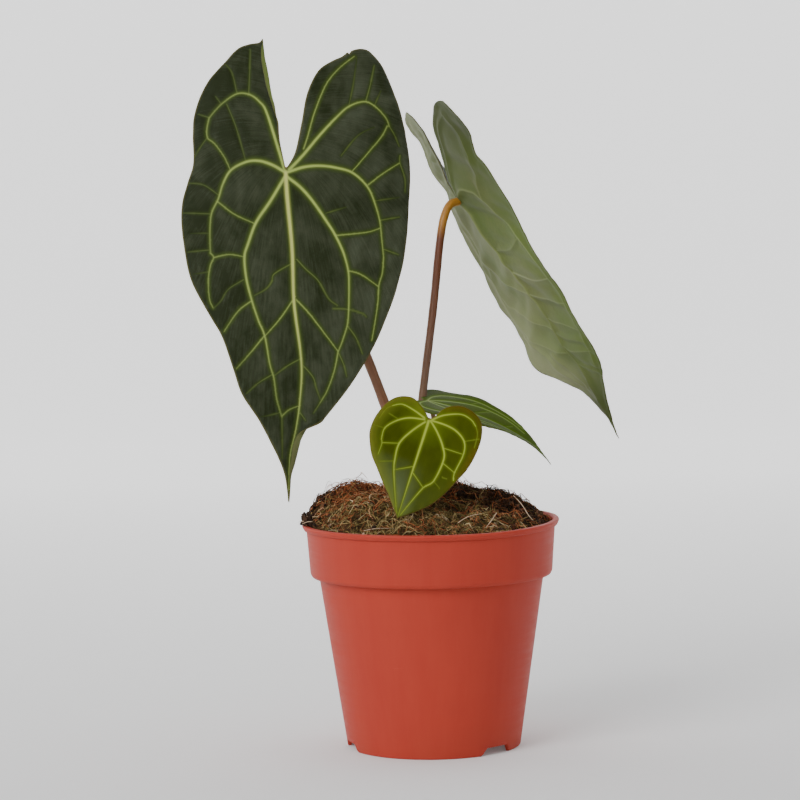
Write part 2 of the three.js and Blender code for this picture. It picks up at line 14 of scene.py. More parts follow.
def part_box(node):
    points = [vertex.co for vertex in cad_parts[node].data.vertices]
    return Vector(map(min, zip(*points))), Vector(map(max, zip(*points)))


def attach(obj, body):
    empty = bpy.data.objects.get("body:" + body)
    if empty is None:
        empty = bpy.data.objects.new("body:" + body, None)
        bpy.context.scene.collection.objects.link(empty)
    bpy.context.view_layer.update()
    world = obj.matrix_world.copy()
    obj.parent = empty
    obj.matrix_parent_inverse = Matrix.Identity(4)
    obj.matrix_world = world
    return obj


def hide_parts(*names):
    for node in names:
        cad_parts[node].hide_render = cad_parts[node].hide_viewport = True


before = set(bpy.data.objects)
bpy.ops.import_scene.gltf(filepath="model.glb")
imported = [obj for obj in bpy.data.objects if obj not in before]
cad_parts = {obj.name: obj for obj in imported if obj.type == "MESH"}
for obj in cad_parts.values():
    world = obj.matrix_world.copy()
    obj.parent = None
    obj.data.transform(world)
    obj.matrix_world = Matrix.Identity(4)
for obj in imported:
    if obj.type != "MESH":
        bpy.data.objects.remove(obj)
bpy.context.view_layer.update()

MM = 0.001
pot_low, pot_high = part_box("pot")
POT_AXIS = np.array([(pot_low.x + pot_high.x) / 2, (pot_low.y + pot_high.y) / 2, 0.0])

# The camera, in the pot's frame: millimetres, degrees, and pixels of the 800 pixel wide photograph.
CAMERA = dict(distance=1225, height=233.3, focal=2639, pan=-0.62, tilt=3.36, roll=1.0)
PHOTO_WIDTH = 800
SENSOR = 36

# The pot.
POT = dict(
    height=104.3, wall=1.2, foot_radius=40.4, foot_width=1.8, shoulder_radius=52.3, shoulder_z=79.5,
    collar_low_radius=56.4, collar_low_z=81.4, collar_top_radius=57.9, lip_radius=60, lip_height=2.8,
    floor_z=4.2,
)
NOTCH = dict(height=3.8, half_width=8.2, slope=1.7, reach=9, centres=(45.5, 166, 286))
DRAIN = dict(radius=4, circle=29, count=6, cutter=5)
POT_SEGMENTS = 216
RIM_WARP = dict(rise=1.8, from_z=84, turn=0.4)
SHARP_ANGLE = 38

# The potting mix.
SOIL = dict(
    edge_z=103.8, edge_left=1.3, edge_front=1.4, rise=15.5, steepness=4.5, steepness_left=1.5,
    steepness_front=2.6, radius=56.2, litter_reach=56.0,
    below=((54.2, 81.6), (50.8, 80.4), (40.4, 5.8)),
    lumps=((-36, -2, 4.6, 11), (-46, 12, 3, 10), (12, 6, 2.4, 7), (30, 4, 2.6, 12), (8, 34, 2.5, 14)),
)
CROWN = dict(
    x=-6.5, y=0.5, low_z=100, top_z=125, radius=8.4, sheaths=7, sheath_z=113, sheath_reach=7.9,
    sheath_thickness=0.35,
)

# Round patches of the mix, each a strength (or a height in mm), a place and a spread.
PILE = ((4.6, (-53, -4), 9),)
SETTLED = ((2.4, (-33, 16), 20), (2.6, (-44, 8), 8), (2.6, (-24, 28), 10), (4.4, (17, 24), 15))
COIR = ((1.1, (-31, 7), 18), (0.35, (10, 36), 16))
MOSS = ((1, (10, -36), 22), (0.7, (-22, -38), 15), (0.75, (-44, -21), 14), (0.4, (-20, 30), 18))
DARK = ((1.1, (28, 8), 24), (0.5, (46, -14), 12), (0.6, (-50, -2), 9))
RIM_CRUMBS = ((1, (-57, -4), 9),)

# Single strands of the litter, as points.
HAIR_LOOPS = (
    ((-51, 3, 114.5), (-49.2, 2, 119.5), (-47.2, 1, 124.2), (-45.4, 0, 122), (-43.8, 0, 118)),
    ((-53.5, 1, 117), (-51.5, 2, 118), (-47, 2, 120)),
    ((-38, 6, 121), (-35, 5, 125), (-31, 4, 124.6), (-29, 3, 122)),
)
PALE_STEMS = (
    ((38.6, -6, 116.5), (42, -12, 113), (45, -18, 108.5), (47, -22, 106.4)),
    ((30, -34, 111.5), (27.5, -39, 108.5), (25, -43, 106)),
    ((12, -44, 108), (17, -40, 110.5), (23, -37, 111.5)),
    ((-56, -8, 105.2), (-58.5, -9, 106.4), (-61, -9, 106.2)),
    ((-52, -12, 105.8), (-56, -13, 106.6), (-59.4, -13, 105.6)),
    ((-54, -5, 106), (-57, -4, 108), (-58.6, -3, 108.6)),
    ((-30, -46, 105.6), (-24, -47, 106.6), (-17, -46, 106.2), (-11, -48, 105)),
)

# The room: how brightly the backdrop glows behind the plant, and where the lamps point, in metres.
BACKDROP_GLOW = 0.8
LAMP_TARGET = (0.0, 0.0, 0.15)
SKY = 0.155

# Ranks of veins: half widths in mm at both ends, how strongly they show, and how much they fade
# towards their end and across the blade's left half. All fade towards the blade's tip.
RANKS = {
    "midrib": (0.92, 0.38, 1.0, 0.1, 0),
    "main": (0.82, 0.42, 1.0, 0.42, 0.22),
    "cross": (0.48, 0.30, 0.63, 0.06, 0.17),
    "fine": (0.36, 0.22, 0.36, 0.38, 0.44),
    "faint": (0.30, 0.20, 0.22, 0.6, 0.45),
    "scar": (0.10, 0.06, 0.26, 0.2, 0),
}
TIP_FADE = 0.4
VEIN_SUNK = 0.16
VEIN_STANDS = 0.22
RIB_STANDS = 0.5

# Blades. Outlines are flat, seen on the upper face with the tip hanging down, in mm. Stations are
# (y, value): slope bends the midrib, fold lifts each half at the midrib and roll curves it.
LEAF = dict(
    slot="blade", thickness=0.6, swell=0, fading=0.3, sway=[(0, 0)], roll=[(0, 0)], curls=[],
)
LEAF_LEFT = dict(
    LEAF, name="left", spacing=0.95, quilt=0.42, vein_scale=1.0, fading=1.0,
    base=(-63.5, -16, 267.5), along=(0.03, 0.16, 1), face=(0.1, -1, 0), length=149, half_width=56,
    right=[
        (0, 1.5), (4, 9), (6.8, 23), (9.4, 38), (14.3, 49.4), (20.5, 55), (25.8, 58.4), (28.3, 60.8),
        (29.3, 60.2), (30.4, 61.9), (35, 63.4), (39.7, 62), (46, 54.3), (51.5, 40), (57, 22), (59, 2),
        (58, -20), (56, -37), (52.5, -52), (47.1, -67), (40.9, -81), (31.5, -97), (21.1, -111),
        (15.8, -117), (14.2, -121), (12.8, -126), (9.9, -132), (7.2, -139), (5.4, -146), (4.8, -151),
    ],
    left=[
        (0, 1.5), (-3.1, 16), (-3.8, 30), (-5, 44), (-8.4, 57), (-11, 64.6), (-13, 63), (-18, 62.2),
        (-23, 60), (-28.6, 53.4), (-35.6, 44.8), (-39.6, 37.2), (-42.5, 27), (-43, 17), (-42.5, 4),
        (-44.8, -5), (-47, -14), (-47.5, -23), (-46, -34), (-43.6, -46), (-40.5, -54.3), (-33, -67),
        (-27.3, -76.5), (-21.8, -91.5), (-17.8, -102.3), (-10, -113.8), (-3.8, -125), (0.8, -134),
        (3.2, -142), (4.6, -151),
    ],
    sway=[(60, 0), (0, 0), (-36, 3.6), (-60, 5), (-88, 9), (-106, 8.5), (-118, 7), (-130, 4.7),
          (-150, 4.7)],
    slope=[(63, -14), (0, 0), (-100, 5), (-149, 8)],
    fold_right=[(60, -4), (0, 0), (-100, 6), (-150, 20)],
    fold_left=[(60, -4), (0, 0), (-100, 6), (-150, 20)],
    roll=[(60, -10), (0, -18), (-100, -14)],
    wave=(1.6, 34),
    curls=[
        dict(line=[(15, -3.4), (30, -6), (44, -8.6), (62, -11.6)], radius=0.6, turn=165, fade=(14, 34)),
        dict(line=[(-110, 14.6), (-120.5, 10), (-128.5, 7.6), (-136.5, 5.4), (-144, 4.6), (-151, 4.6)],
             radius=0.6, turn=168, fade=(-112, -121)),
    ],
    veins=[
        ("main", [(-0.5, 1), (-4.5, 13.5), (-9.5, 28.5), (-12.5, 33), (-17, 36.5), (-23, 37),
                  (-30, 32), (-35.5, 25.5)]),
        ("cross", [(-35.5, 25.5), (-36.5, 20), (-36, 15.5), (-33, 13), (-28.5, 7), (-25, 0)]),
        ("main", [(1.5, 1), (7.7, 8), (15, 17.5), (23, 27), (29, 33), (36, 36), (41, 34.5),
                  (46.5, 29.5), (48.5, 25.5)]),
        ("fine", [(48.5, 25.5), (51.5, 21), (53.5, 16)]),
        ("cross", [(47.5, 25.5), (44.5, 19.5), (37, 9.5), (31, 2)]),
        ("main", [(-0.5, 0), (-6, 3), (-12, 4.8), (-18, 4.3), (-25, 0.4), (-28.5, -6), (-30.5, -13),
                  (-33.5, -20), (-34, -29), (-33.5, -38)]),
        ("cross", [(-33.5, -38), (-32, -40), (-33.5, -44), (-34.2, -51), (-33.5, -59), (-31.8, -63)]),
        ("main", [(1, 0), (8, 2.5), (15.5, 3.5), (23, 3), (31, 1), (38, -5), (41.5, -12),
                  (44, -20.5), (45, -29), (46, -37.5)]),
        ("cross", [(46, -37.5), (45.5, -45), (44, -50.5), (43.5, -59), (42, -69.5), (41, -76)]),
        ("main", [(-0.5, -2.5), (-7, -14), (-13, -23.5), (-16.5, -33.5), (-18, -39.5), (-17, -49),
                  (-14.5, -58.5), (-11, -68.5), (-8, -75.5), (-5.5, -88), (-3.5, -94.5), (-2, -104),
                  (0.5, -112)]),
        ("fine", [(0.5, -112), (0.7, -121), (1, -131)]),
        ("main", [(1, -2.5), (7, -7), (12.5, -13), (19, -22), (23, -28), (27, -36), (29.5, -44.5),
                  (30, -52.5), (30, -63), (29.5, -69.5), (27.5, -76.5), (25.5, -82)]),
        ("cross", [(25.5, -82), (24, -90.5), (21, -99.5), (18, -105)]),
        ("fine", [(18, -105), (15, -110)]),
        ("cross", [(8, 11), (9.8, 17), (12.8, 28.5), (18.2, 43), (24.4, 52), (31.5, 59)]),
        ("cross", [(5.4, -57), (-1, -67), (-8, -75.5)]),
        ("cross", [(6, -58.5), (11.5, -64), (18, -72), (25.5, -81.5)]),
        ("cross", [(-32, -40), (-25, -38.5), (-18, -39.5)]),
        ("cross", [(23.5, -28.5), (37.5, -26.5), (43.5, -24.5)]),
        ("cross", [(29.7, -44.5), (35.5, -46), (43.5, -51)]),
        ("cross", [(-30.5, -14.5), (-23, -20), (-14, -24)]),
        ("cross", [(38, -4.5), (45, 1.3), (53.5, 7.2)]),
        ("cross", [(-15, -60), (-20, -64), (-24.5, -70.5), (-26.5, -74)]),
        ("cross", [(-8.5, -75.7), (-15, -84), (-20.5, -90.5)]),
        ("cross", [(0.6, -111.5), (3.7, -108.7), (7.6, -107)]),
        ("fine", [(-17.5, 37), (-17.2, 48.5), (-17, 59.5)]),
        ("fine", [(-23, 37.5), (-25.3, 47.5), (-28.4, 52)]),
        ("fine", [(-30, 32), (-32.7, 36)]),
        ("fine", [(-35.6, 25.6), (-40.7, 27.5)]),
        ("fine", [(-36.2, 15.7), (-40, 10), (-41.8, 6.5)]),
        ("fine", [(-27.3, 31.5), (-23, 20.5), (-18.4, 5)]),
        ("fine", [(-30.7, -11), (-37.5, -6.5), (-45, -5.5)]),
        ("fine", [(-34, -20), (-46.5, -19.7)]),
        ("faint", [(-34, -28.8), (-43, -29)]),
        ("fine", [(-34, -36.5), (-44, -37.5)]),
        ("faint", [(-34.2, -46.7), (-41.3, -48)]),
        ("fine", [(-18.3, -50), (-25, -54.5), (-28, -59.5), (-31.8, -63.6)]),
        ("fine", [(-4.5, -93), (-10.7, -97), (-16, -102)]),
        ("faint", [(-0.3, -110), (-6.6, -111.7), (-9, -112)]),
        ("fine", [(3.5, -42), (-4.3, -47), (-5.4, -50.5), (-8, -54), (-13, -57)]),
        ("fine", [(9, -85), (2.5, -88.8), (-3.5, -93.5)]),
        ("fine", [(5.8, -40), (10.2, -44.5), (15.8, -49.5), (20.7, -57.5), (24.8, -60.5)]),
        ("fine", [(10, -88.6), (14.4, -93.6), (16, -98.5), (18, -103.7)]),
        ("fine", [(9, -110), (11.7, -113.6)]),
        ("faint", [(42.2, -11.3), (53.6, -8.8)]),
        ("fine", [(44.2, -20.5), (53.6, -18.3)]),
        ("fine", [(46.3, -34), (53, -36)]),
        ("faint", [(18.8, -18.4), (28, -15.2)]),
        ("fine", [(30, -70.3), (33.8, -75.4), (36.7, -82.4)]),
        ("fine", [(26, -82.7), (28.4, -88), (29.7, -93)]),
        ("fine", [(53.8, 11), (53.7, 7.2), (56.3, 0), (56.5, -6.3)]),
        ("faint", [(29, 34), (31, 44.3), (32.7, 58.4)]),
        ("fine", [(37, 36.4), (39, 44.4), (41, 55.4)]),
        ("faint", [(41.4, 35.2), (44.2, 42.4)]),
        ("faint", [(25.4, 8.7), (33.2, 19), (41, 24)]),
        ("scar", [(23.2, -62), (29.6, -62.2), (36, -63.8), (38.4, -65.4)]),
    ],
)
LEAF_RIGHT = dict(
    LEAF, name="right", spacing=0.95, quilt=0.8, swell=2.0, vein_scale=0.95,
    base=(16, 20, 253.5), along=(-0.6, -0.03, 0.8), face=(0.786, 0.309, 0.533), length=134,
    half_width=49,
    right=[
        (0, 1.5), (-0.5, 8), (2, 21), (8, 34.5), (15.5, 45), (23, 50.5), (31, 51), (39, 47.5),
        (45.5, 40), (49, 30), (51, 19), (50, 10), (45.5, 2), (42.5, -8), (43.5, -18), (46, -30), (45, -42),
        (40.8, -55), (36, -64), (33.8, -73), (32.8, -84), (29, -92), (21.4, -101), (14.6, -109),
        (8.2, -117.5), (3, -126), (0.4, -135.5),
    ],
    left=[
        (0, 1.5), (-1.4, 8), (-4.6, 20), (-9.8, 31.5), (-16.4, 39.6), (-24, 43.8), (-31, 44.4),
        (-40, 41.5), (-47, 35), (-48.5, 26), (-44.5, 19), (-43, 14), (-47.5, 7), (-50.5, -3),
        (-49.5, -12), (-44, -24), (-42.5, -35), (-43, -46), (-40.5, -58), (-37.5, -68), (-36.5, -80),
        (-34, -88), (-25, -98), (-15, -107), (-7.5, -116), (-2, -126), (0.4, -135.5),
    ],
    slope=[(48, 21), (30, 13), (15, 17), (0, 1.5), (-60, 3), (-95, 4), (-134, 12)],
    fold_right=[(50, 6), (36, 13), (22, 14), (10, 15), (0, 12), (-25, 6), (-43, 1), (-59, -2.5),
                (-72, -8), (-88, -15), (-100, -8), (-108, -1), (-134, 8)],
    fold_left=[(44, 1), (24, 3), (0, 4), (-30, 0), (-60, -1), (-85, -1), (-106, 5), (-134, 8)],
    wave=(1.2, 40),
    veins=[
        ("main", [(-0.5, 0), (-5, 3), (-11, 4), (-17, 1.5), (-22, -2), (-25.5, -10.5), (-30.5, -22.5),
                  (-35, -33), (-38, -44)]),
        ("cross", [(-38, -44), (-37, -56), (-34, -68), (-32, -78), (-28, -87), (-18, -99)]),
        ("cross", [(-24, -6), (-26.5, 0), (-32, 7), (-35, 16), (-34, 28), (-29, 38)]),
        ("fine", [(-1, 1), (-6, 13), (-12, 26), (-19, 35), (-29, 38)]),
        ("fine", [(0, -29), (-8, -30.5), (-18, -31.7), (-33, -29)]),
        ("main", [(0, -42), (-4.5, -44), (-12.5, -47), (-21.5, -50), (-37, -52)]),
        ("cross", [(0, -55), (-3.5, -56.5), (-11, -59.5), (-19.5, -61.5), (-35, -66)]),
        ("cross", [(0, -69), (-6, -72), (-14.5, -74), (-24, -77.5), (-31, -80)]),
        ("fine", [(0, -77), (-9, -81), (-20, -83.5), (-29, -86)]),
        ("cross", [(0, -84), (-6, -87.5), (-17, -89.5), (-26, -91.5)]),
        ("fine", [(0, -95), (-8, -99), (-16, -102)]),
        ("main", [(0.5, 0), (5, 3), (10, 3), (17, -3), (25, -9), (29.5, -16), (30.5, -24), (28, -35),
                  (24.5, -40)]),
        ("cross", [(24.5, -40), (17.5, -45.5), (11.5, -49.5), (5, -53), (0, -55)]),
        ("main", [(0.5, 1), (6, 13), (11, 25), (17, 35), (24, 41), (32, 40), (38, 33), (40, 20)]),
        ("cross", [(40, 20), (36, 5), (34, -10), (37, -28), (36, -44), (31, -56)]),
        ("cross", [(31, -56), (23, -61.5), (16, -66), (9, -70.5), (1, -75)]),
        ("cross", [(35, -50), (33, -61.5), (28.5, -68), (23, -75.5), (15.5, -81), (9, -85), (1.5, -88)]),
        ("fine", [(29, -72.5), (23, -80), (18, -88), (16.5, -96.5), (11, -106)]),
        ("fine", [(13.5, -85.5), (11, -91.5), (10, -98.5), (6, -108)]),
        ("fine", [(28, -35), (36, -40)]),
        ("fine", [(30, -20), (35, -16)]),
        ("fine", [(11, 25), (20, 22), (30, 27), (38, 33)]),
    ],
)
LEAF_FRONT = dict(
    LEAF, name="front", slot="young_blade", spacing=0.6, thickness=0.5, quilt=0.18, vein_scale=0.64,
    base=(0, -31.5, 153.8), along=(0.34, 0.3, 1), face=(0, -1, 0.12), length=46.5, half_width=24,
    right=[
        (0, 0.4), (2.1, 2.5), (4.4, 6.6), (7.5, 9.3), (12, 10.9), (16.4, 10.6), (20.7, 8.4),
        (23.8, 4.6), (25.3, -1.9), (24.9, -9.4), (23.2, -17), (20, -24), (16.8, -30.6),
        (12.3, -37), (6.6, -42), (-0.4, -47),
    ],
    left=[
        (0, 0.4), (-2.5, 3.1), (-5, 5.2), (-9.4, 7.7), (-14, 7.4), (-18.3, 4.8), (-21.5, 0.2),
        (-23.7, -6), (-24.2, -12.2), (-23.1, -16.8), (-20.1, -23.2), (-16.1, -28), (-11.9, -33.2),
        (-8.2, -37.2), (-4.8, -41.4), (-0.4, -47),
    ],
    sway=[(0, 0), (-46.5, -0.4)],
    slope=[(13, -10), (0, 0), (-47, 6)],
    fold_right=[(13, 0), (0, 2), (-47, 10)],
    fold_left=[(13, 0), (0, 2), (-47, 10)],
    wave=(0.4, 22),
    veins=[
        ("main", [(0.7, 0), (5.3, -4.3), (9.7, -10), (11.8, -15.6), (10.4, -26), (6.7, -30.6),
                  (2.6, -40), (0.6, -45)]),
        ("main", [(1.3, 0.2), (8.4, 0), (14, -1.5), (18.4, -5.2), (19.6, -11), (18.3, -20),
                  (19, -23.3)]),
        ("main", [(1.2, 0.5), (5.8, 4.2), (13, 7), (18, 6), (21, 3.6)]),
        ("fine", [(20.6, 4.2), (23, 0), (23.4, -6)]),
        ("main", [(-1.4, -1.3), (-6, -7.2), (-9.7, -14.4), (-9.4, -22.3), (-8, -28), (-5, -36),
                  (-3, -41), (-1.2, -45)]),
        ("main", [(-2, -0.3), (-9, -1.8), (-14.2, -5), (-18, -9.7), (-18, -15)]),
        ("cross", [(-18, -15), (-17.2, -17), (-17.4, -22)]),
        ("main", [(-2.2, 0.4), (-8.4, 2.5), (-13.8, 3.3), (-17.6, 1.4)]),
        ("fine", [(-17.2, 1.8), (-20, -1), (-21.6, -6)]),
        ("cross", [(-0.7, -22.5), (-8.3, -26.5)]),
        ("cross", [(-17.3, -16.5), (-9.7, -14.3)]),
        ("fine", [(-9.6, -22.7), (-16, -25)]),
        ("fine", [(-12.7, -4), (-18.2, -2.6)]),
        ("faint", [(-18, -9.7), (-23, -10)]),
        ("cross", [(0, -25), (6.7, -30.3)]),
        ("cross", [(10, -10.4), (19.5, -10.6)]),
        ("cross", [(11.6, -17), (18.3, -19.8)]),
        ("fine", [(18.2, -4.7), (24.4, -1.6)]),
        ("faint", [(10.5, -26.2), (14, -28.5)]),
        ("scar", [(13.8, -23.4), (16, -23.4)]),
    ],
)
LEAF_NARROW = dict(
    LEAF, name="narrow", spacing=0.62, thickness=0.5, quilt=0.2, vein_scale=0.6,
    base=(-1, 2, 160.6), along=(-0.975, 0.05, 0.21), face=(0.21, -0.27, 0.96), length=66,
    half_width=17,
    right=[
        (0, 1), (3.5, 2.8), (8.5, 4), (13, 2.8), (16.6, -1.5), (18.2, -9), (17.4, -21),
        (14, -35), (7.4, -48), (2.2, -57), (0.6, -61), (0.25, -67),
    ],
    left=[
        (0, 1), (-3, 5), (-8, 9), (-13, 8.4), (-16.8, 2), (-18.6, -8), (-18.4, -21), (-14.6, -35),
        (-7.4, -48), (-2.2, -57), (-0.6, -61), (0.1, -67),
    ],
    slope=[(12, -10), (0, 0), (-25, 10), (-45, 20.5), (-57, 31), (-66, 45)],
    fold_right=[(12, 0), (0, 1), (-20, 7), (-45, 14), (-66, 14)],
    fold_left=[(12, 3), (0, 3), (-66, 14)],
    wave=(0.5, 26),
    veins=[
        ("main", [(0.5, -1), (5, -9), (8.5, -22), (7.5, -36), (4, -48)]),
        ("main", [(-0.5, -1), (-5, -9), (-8.5, -22), (-7.5, -36), (-4, -48)]),
        ("main", [(0.8, -0.5), (7, -2.5), (12, -9), (13, -20), (10.8, -33), (6.5, -47)]),
        ("main", [(-0.8, 0), (-6, 2.5), (-11.5, 0), (-13.4, -9), (-13, -20), (-10.8, -33), (-6.5, -47)]),
        ("fine", [(0, -22), (5, -27), (8, -31)]),
        ("fine", [(0, -17), (-5, -21), (-8.4, -25)]),
        ("fine", [(8.4, -20), (12.6, -24)]),
        ("fine", [(-8.4, -18), (-12.8, -22)]),
        ("fine", [(0, -38), (4, -42)]),
    ],
)

# Leaf stalks, from inside the crown to just under the blade they carry.
STALK_SIDES = 28
STALKS = {
    "left": dict(radius=2.35, foot=2.6, joint=2.4, path=[
        (-6.4, -1, 117), (-8.4, -1.3, 124), (-17.5, -2.2, 151.5), (-26.9, -3.3, 178), (-33.3, -4, 194),
        (-52.2, -6, 239), (-60.5, -7.4, 259.5), (-63, -9.4, 265.8), (-63.4, -12.5, 267.4),
        (-63.5, -15.4, 267.5)]),
    "right": dict(radius=1.9, foot=2.25, joint=1.95, path=[
        (-8.4, 3.2, 117), (-7.6, 3.9, 125), (-2.7, 7.8, 163), (3.1, 11, 205), (6.8, 13.8, 236),
        (8.8, 15, 246), (11.6, 16.8, 251.8), (15.8, 19.8, 253.4)]),
    "front": dict(radius=1.15, foot=1.4, joint=1.3, path=[
        (-5.2, -3.6, 117), (-4.8, -5.4, 124), (-4.6, -12, 138), (-3.4, -20.5, 148.8), (-1.4, -27, 153),
        (0, -30.9, 153.7)]),
    "narrow": dict(radius=1.1, foot=1.4, joint=1.2, path=[
        (-3.8, 1.8, 117), (-2.6, 2.2, 124), (0.9, 2.8, 136), (2.3, 2.8, 148), (1.4, 2.4, 156.4),
        (-0.9, 2.1, 160.2)]),
}


# Curves and fields

def through(stations, y):
    """The values at y of a smooth curve through (y, value) stations, level beyond both ends."""
    ys, values = np.array(sorted(stations), float).T
    if len(ys) == 1:
        return np.full(np.shape(y), values[0])
    slopes = np.zeros(len(ys))
    slopes[1:-1] = (values[2:] - values[:-2]) / (ys[2:] - ys[:-2])
    y = np.clip(y, ys[0], ys[-1])
    i = np.clip(np.searchsorted(ys, y, side="right") - 1, 0, len(ys) - 2)
    h = ys[i + 1] - ys[i]
    t = (y - ys[i]) / h
    return (values[i] * (1 + 2 * t) * (1 - t) ** 2 + values[i + 1] * t * t * (3 - 2 * t)
            + h * (slopes[i] * t * (1 - t) ** 2 - slopes[i + 1] * t * t * (1 - t)))


def smoothstep(low, high, value):
    """From 0 at low to 1 at high, level beyond both."""
    t = np.clip((value - low) / (high - low), 0, 1)
    return t * t * (3 - 2 * t)


def spline(points, per_span=12):
    """A smooth curve through the points."""
    p = np.asarray(points, float)
    if len(p) == 2:
        return p
    ends = np.vstack([p[:1], p, p[-1:]])
    t = (np.arange(per_span) / per_span)[None, :, None]
    a, b, c, d = (ends[k:len(p) - 1 + k][:, None, :] for k in range(4))
    curve = 0.5 * (2 * b + (c - a) * t + (2 * a - 5 * b + 4 * c - d) * t ** 2
                   + (3 * b - a - 3 * c + d) * t ** 3)
    return np.vstack([curve.reshape(-1, p.shape[1]), p[-1:]])


def even(line, step=None, count=None):
    """The same line with points an even step apart, or with this count of them."""
    length = np.concatenate([[0], np.cumsum(np.linalg.norm(np.diff(line, axis=0), axis=1))])
    if count is None:
        count = max(1, round(length[-1] / step)) + 1
    at = np.linspace(0, length[-1], count)
    return np.stack([np.interp(at, length, column) for column in line.T], 1)


def unit(vectors):
    """The same vectors with length 1."""
    return vectors / np.maximum(np.linalg.norm(vectors, axis=-1, keepdims=True), 1e-12)


def tree_of(points):
    """A search tree over flat or full points."""
    tree = kdtree.KDTree(len(points))
    for i, p in enumerate(points):
        tree.insert((p[0], p[1], p[2] if len(p) > 2 else 0.0), i)
    tree.balance()
    return tree


def nearest(tree, points):
    """For each flat point, the index of the tree's nearest point and its distance."""
    found = [tree.find((x, y, 0.0)) for x, y in points]
    return np.array([f[1] for f in found]), np.array([f[2] for f in found])


def inside(points, outline):
    """Which flat points lie inside a closed outline."""
    x, y = points[:, 0, None], points[:, 1, None]
    x0, y0 = outline.T
    x1, y1 = np.roll(outline, -1, axis=0).T
    with np.errstate(divide="ignore", invalid="ignore"):
        crossing = x0 + (y - y0) * (x1 - x0) / (y1 - y0)
    hits = ((y0 > y) != (y1 > y)) & (x < crossing)
    return hits.sum(1) % 2 == 1


def rough(points, scale, octaves):
    """Fractal noise at points, about -1 to 1."""
    return np.array([noise.fractal((p[0] * scale, p[1] * scale, p[2] * scale), 0.9, 2.1, octaves)
                     for p in points])


def cells(points, scale, level):
    """The distance to the nearest of random places, which lie one scaled unit apart."""
    return np.array([noise.voronoi((p[0] * scale, p[1] * scale, level))[0][0] for p in points])


def blobs(x, y, patches):
    """The sum of soft round patches, each (strength, place, spread)."""
    return sum(strength * np.exp(-((x - at[0]) ** 2 + (y - at[1]) ** 2) / spread ** 2)
               for strength, at, spread in patches)


def here(x, y, patches):
    """How much of such patches there is at a place, 0 to 1."""
    return np.clip(blobs(x, y, patches), 0, 1)


# Meshes

def put(points):
    """From the pot's frame in millimetres to the row frame in metres."""
    return np.asarray(points, float) * MM + POT_AXIS


def added(name, data):
    """A new object around some data, in the scene."""
    thing = bpy.data.objects.new(name, data)
    bpy.context.scene.collection.objects.link(thing)
    return thing


def piece(name, points, triangles, materials, slot, node=None, part=None, **fields):
    """A mesh of the plant or its pot, with a value or a vector at each vertex for each field."""
    mesh = bpy.data.meshes.new(name)
    triangles = np.asarray(triangles, np.int32)
    mesh.vertices.add(len(points))
    mesh.vertices.foreach_set("co", put(points).astype(np.float32).ravel())
    mesh.loops.add(triangles.size)
    mesh.loops.foreach_set("vertex_index", triangles.ravel())
    mesh.polygons.add(len(triangles))
    mesh.polygons.foreach_set("loop_start", np.arange(0, triangles.size, 3, dtype=np.int32))
    for material in materials:
        mesh.materials.append(material)
    if part is not None:
        mesh.polygons.foreach_set("material_index", np.asarray(part, np.int32))
    mesh.update(calc_edges=True)
    mesh.validate()
    mesh.shade_smooth()
    for key, values in fields.items():
        values = np.asarray(values, np.float32)
        kind = "FLOAT" if values.ndim == 1 else "FLOAT_VECTOR"
        target = mesh.attributes.new(key, kind, "POINT")
        target.data.foreach_set("value" if kind == "FLOAT" else "vector", values.ravel())
    thing = added(name, mesh)
    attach(thing, "root")
    if node:
        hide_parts(node)
    return thing


def turned(radius, turn, z):
    """Points at a radius, an angle and a height."""
    return np.stack(np.broadcast_arrays(radius * np.cos(turn), radius * np.sin(turn), z), -1)


def ring_walls(rings, sides):
    """The index of each point on rings one above the other, and the triangles between them."""
    index = np.arange(rings * sides).reshape(rings, sides)
    after = np.roll(index, -1, 1)
    a, b, c, d = index[:-1], after[:-1], after[1:], index[1:]
    return index, [np.stack([a, b, c], -1).reshape(-1, 3), np.stack([a, c, d], -1).reshape(-1, 3)]


def staggered(columns, rows, shift):
    """Flat points in columns and rows, with every other row shifted."""
    x, y = np.meshgrid(columns, rows)
    x[1::2] += shift
    return np.stack([x.ravel(), y.ravel()], 1)


def triangulated(flat, edges=()):
    """Flat points, and the triangles between them, all facing up."""
    made = delaunay_2d_cdt([Vector(p) for p in flat], list(edges), [], 0, 1e-5, False)
    flat = np.array([tuple(p) for p in made[0]])
    triangles = np.array([tuple(t) for t in made[2]])
    a, b, c = (flat[triangles[:, k]] for k in range(3))
    area = (b[:, 0] - a[:, 0]) * (c[:, 1] - a[:, 1]) - (b[:, 1] - a[:, 1]) * (c[:, 0] - a[:, 0])
    triangles[area < 0] = triangles[area < 0][:, ::-1]
    return flat, triangles


def closed_sheet(triangles, n):
    """The triangles of a sheet of n points, of its copy below and of the rim, and each one's look."""
    pairs = np.vstack([triangles[:, [0, 1]], triangles[:, [1, 2]], triangles[:, [2, 0]]])
    known = set(map(tuple, pairs.tolist()))
    rim = sorted((a, b) for a, b in known if (b, a) not in known)
    walls = np.array([t for a, b in rim for t in ((a + n, b + n, b), (a + n, b, a))])
    part = np.repeat([0, 1, 0], [len(triangles), len(triangles), len(walls)])
    return np.vstack([triangles, triangles[:, ::-1] + n, walls]), part


def merged(parts):
    """Several (points, triangles) as one."""
    points, triangles, start = [], [], 0
    for p, t in parts:
        points.append(p)
        triangles.append(np.asarray(t) + start)
        start += len(p)
    return np.vstack(points), np.vstack(triangles)


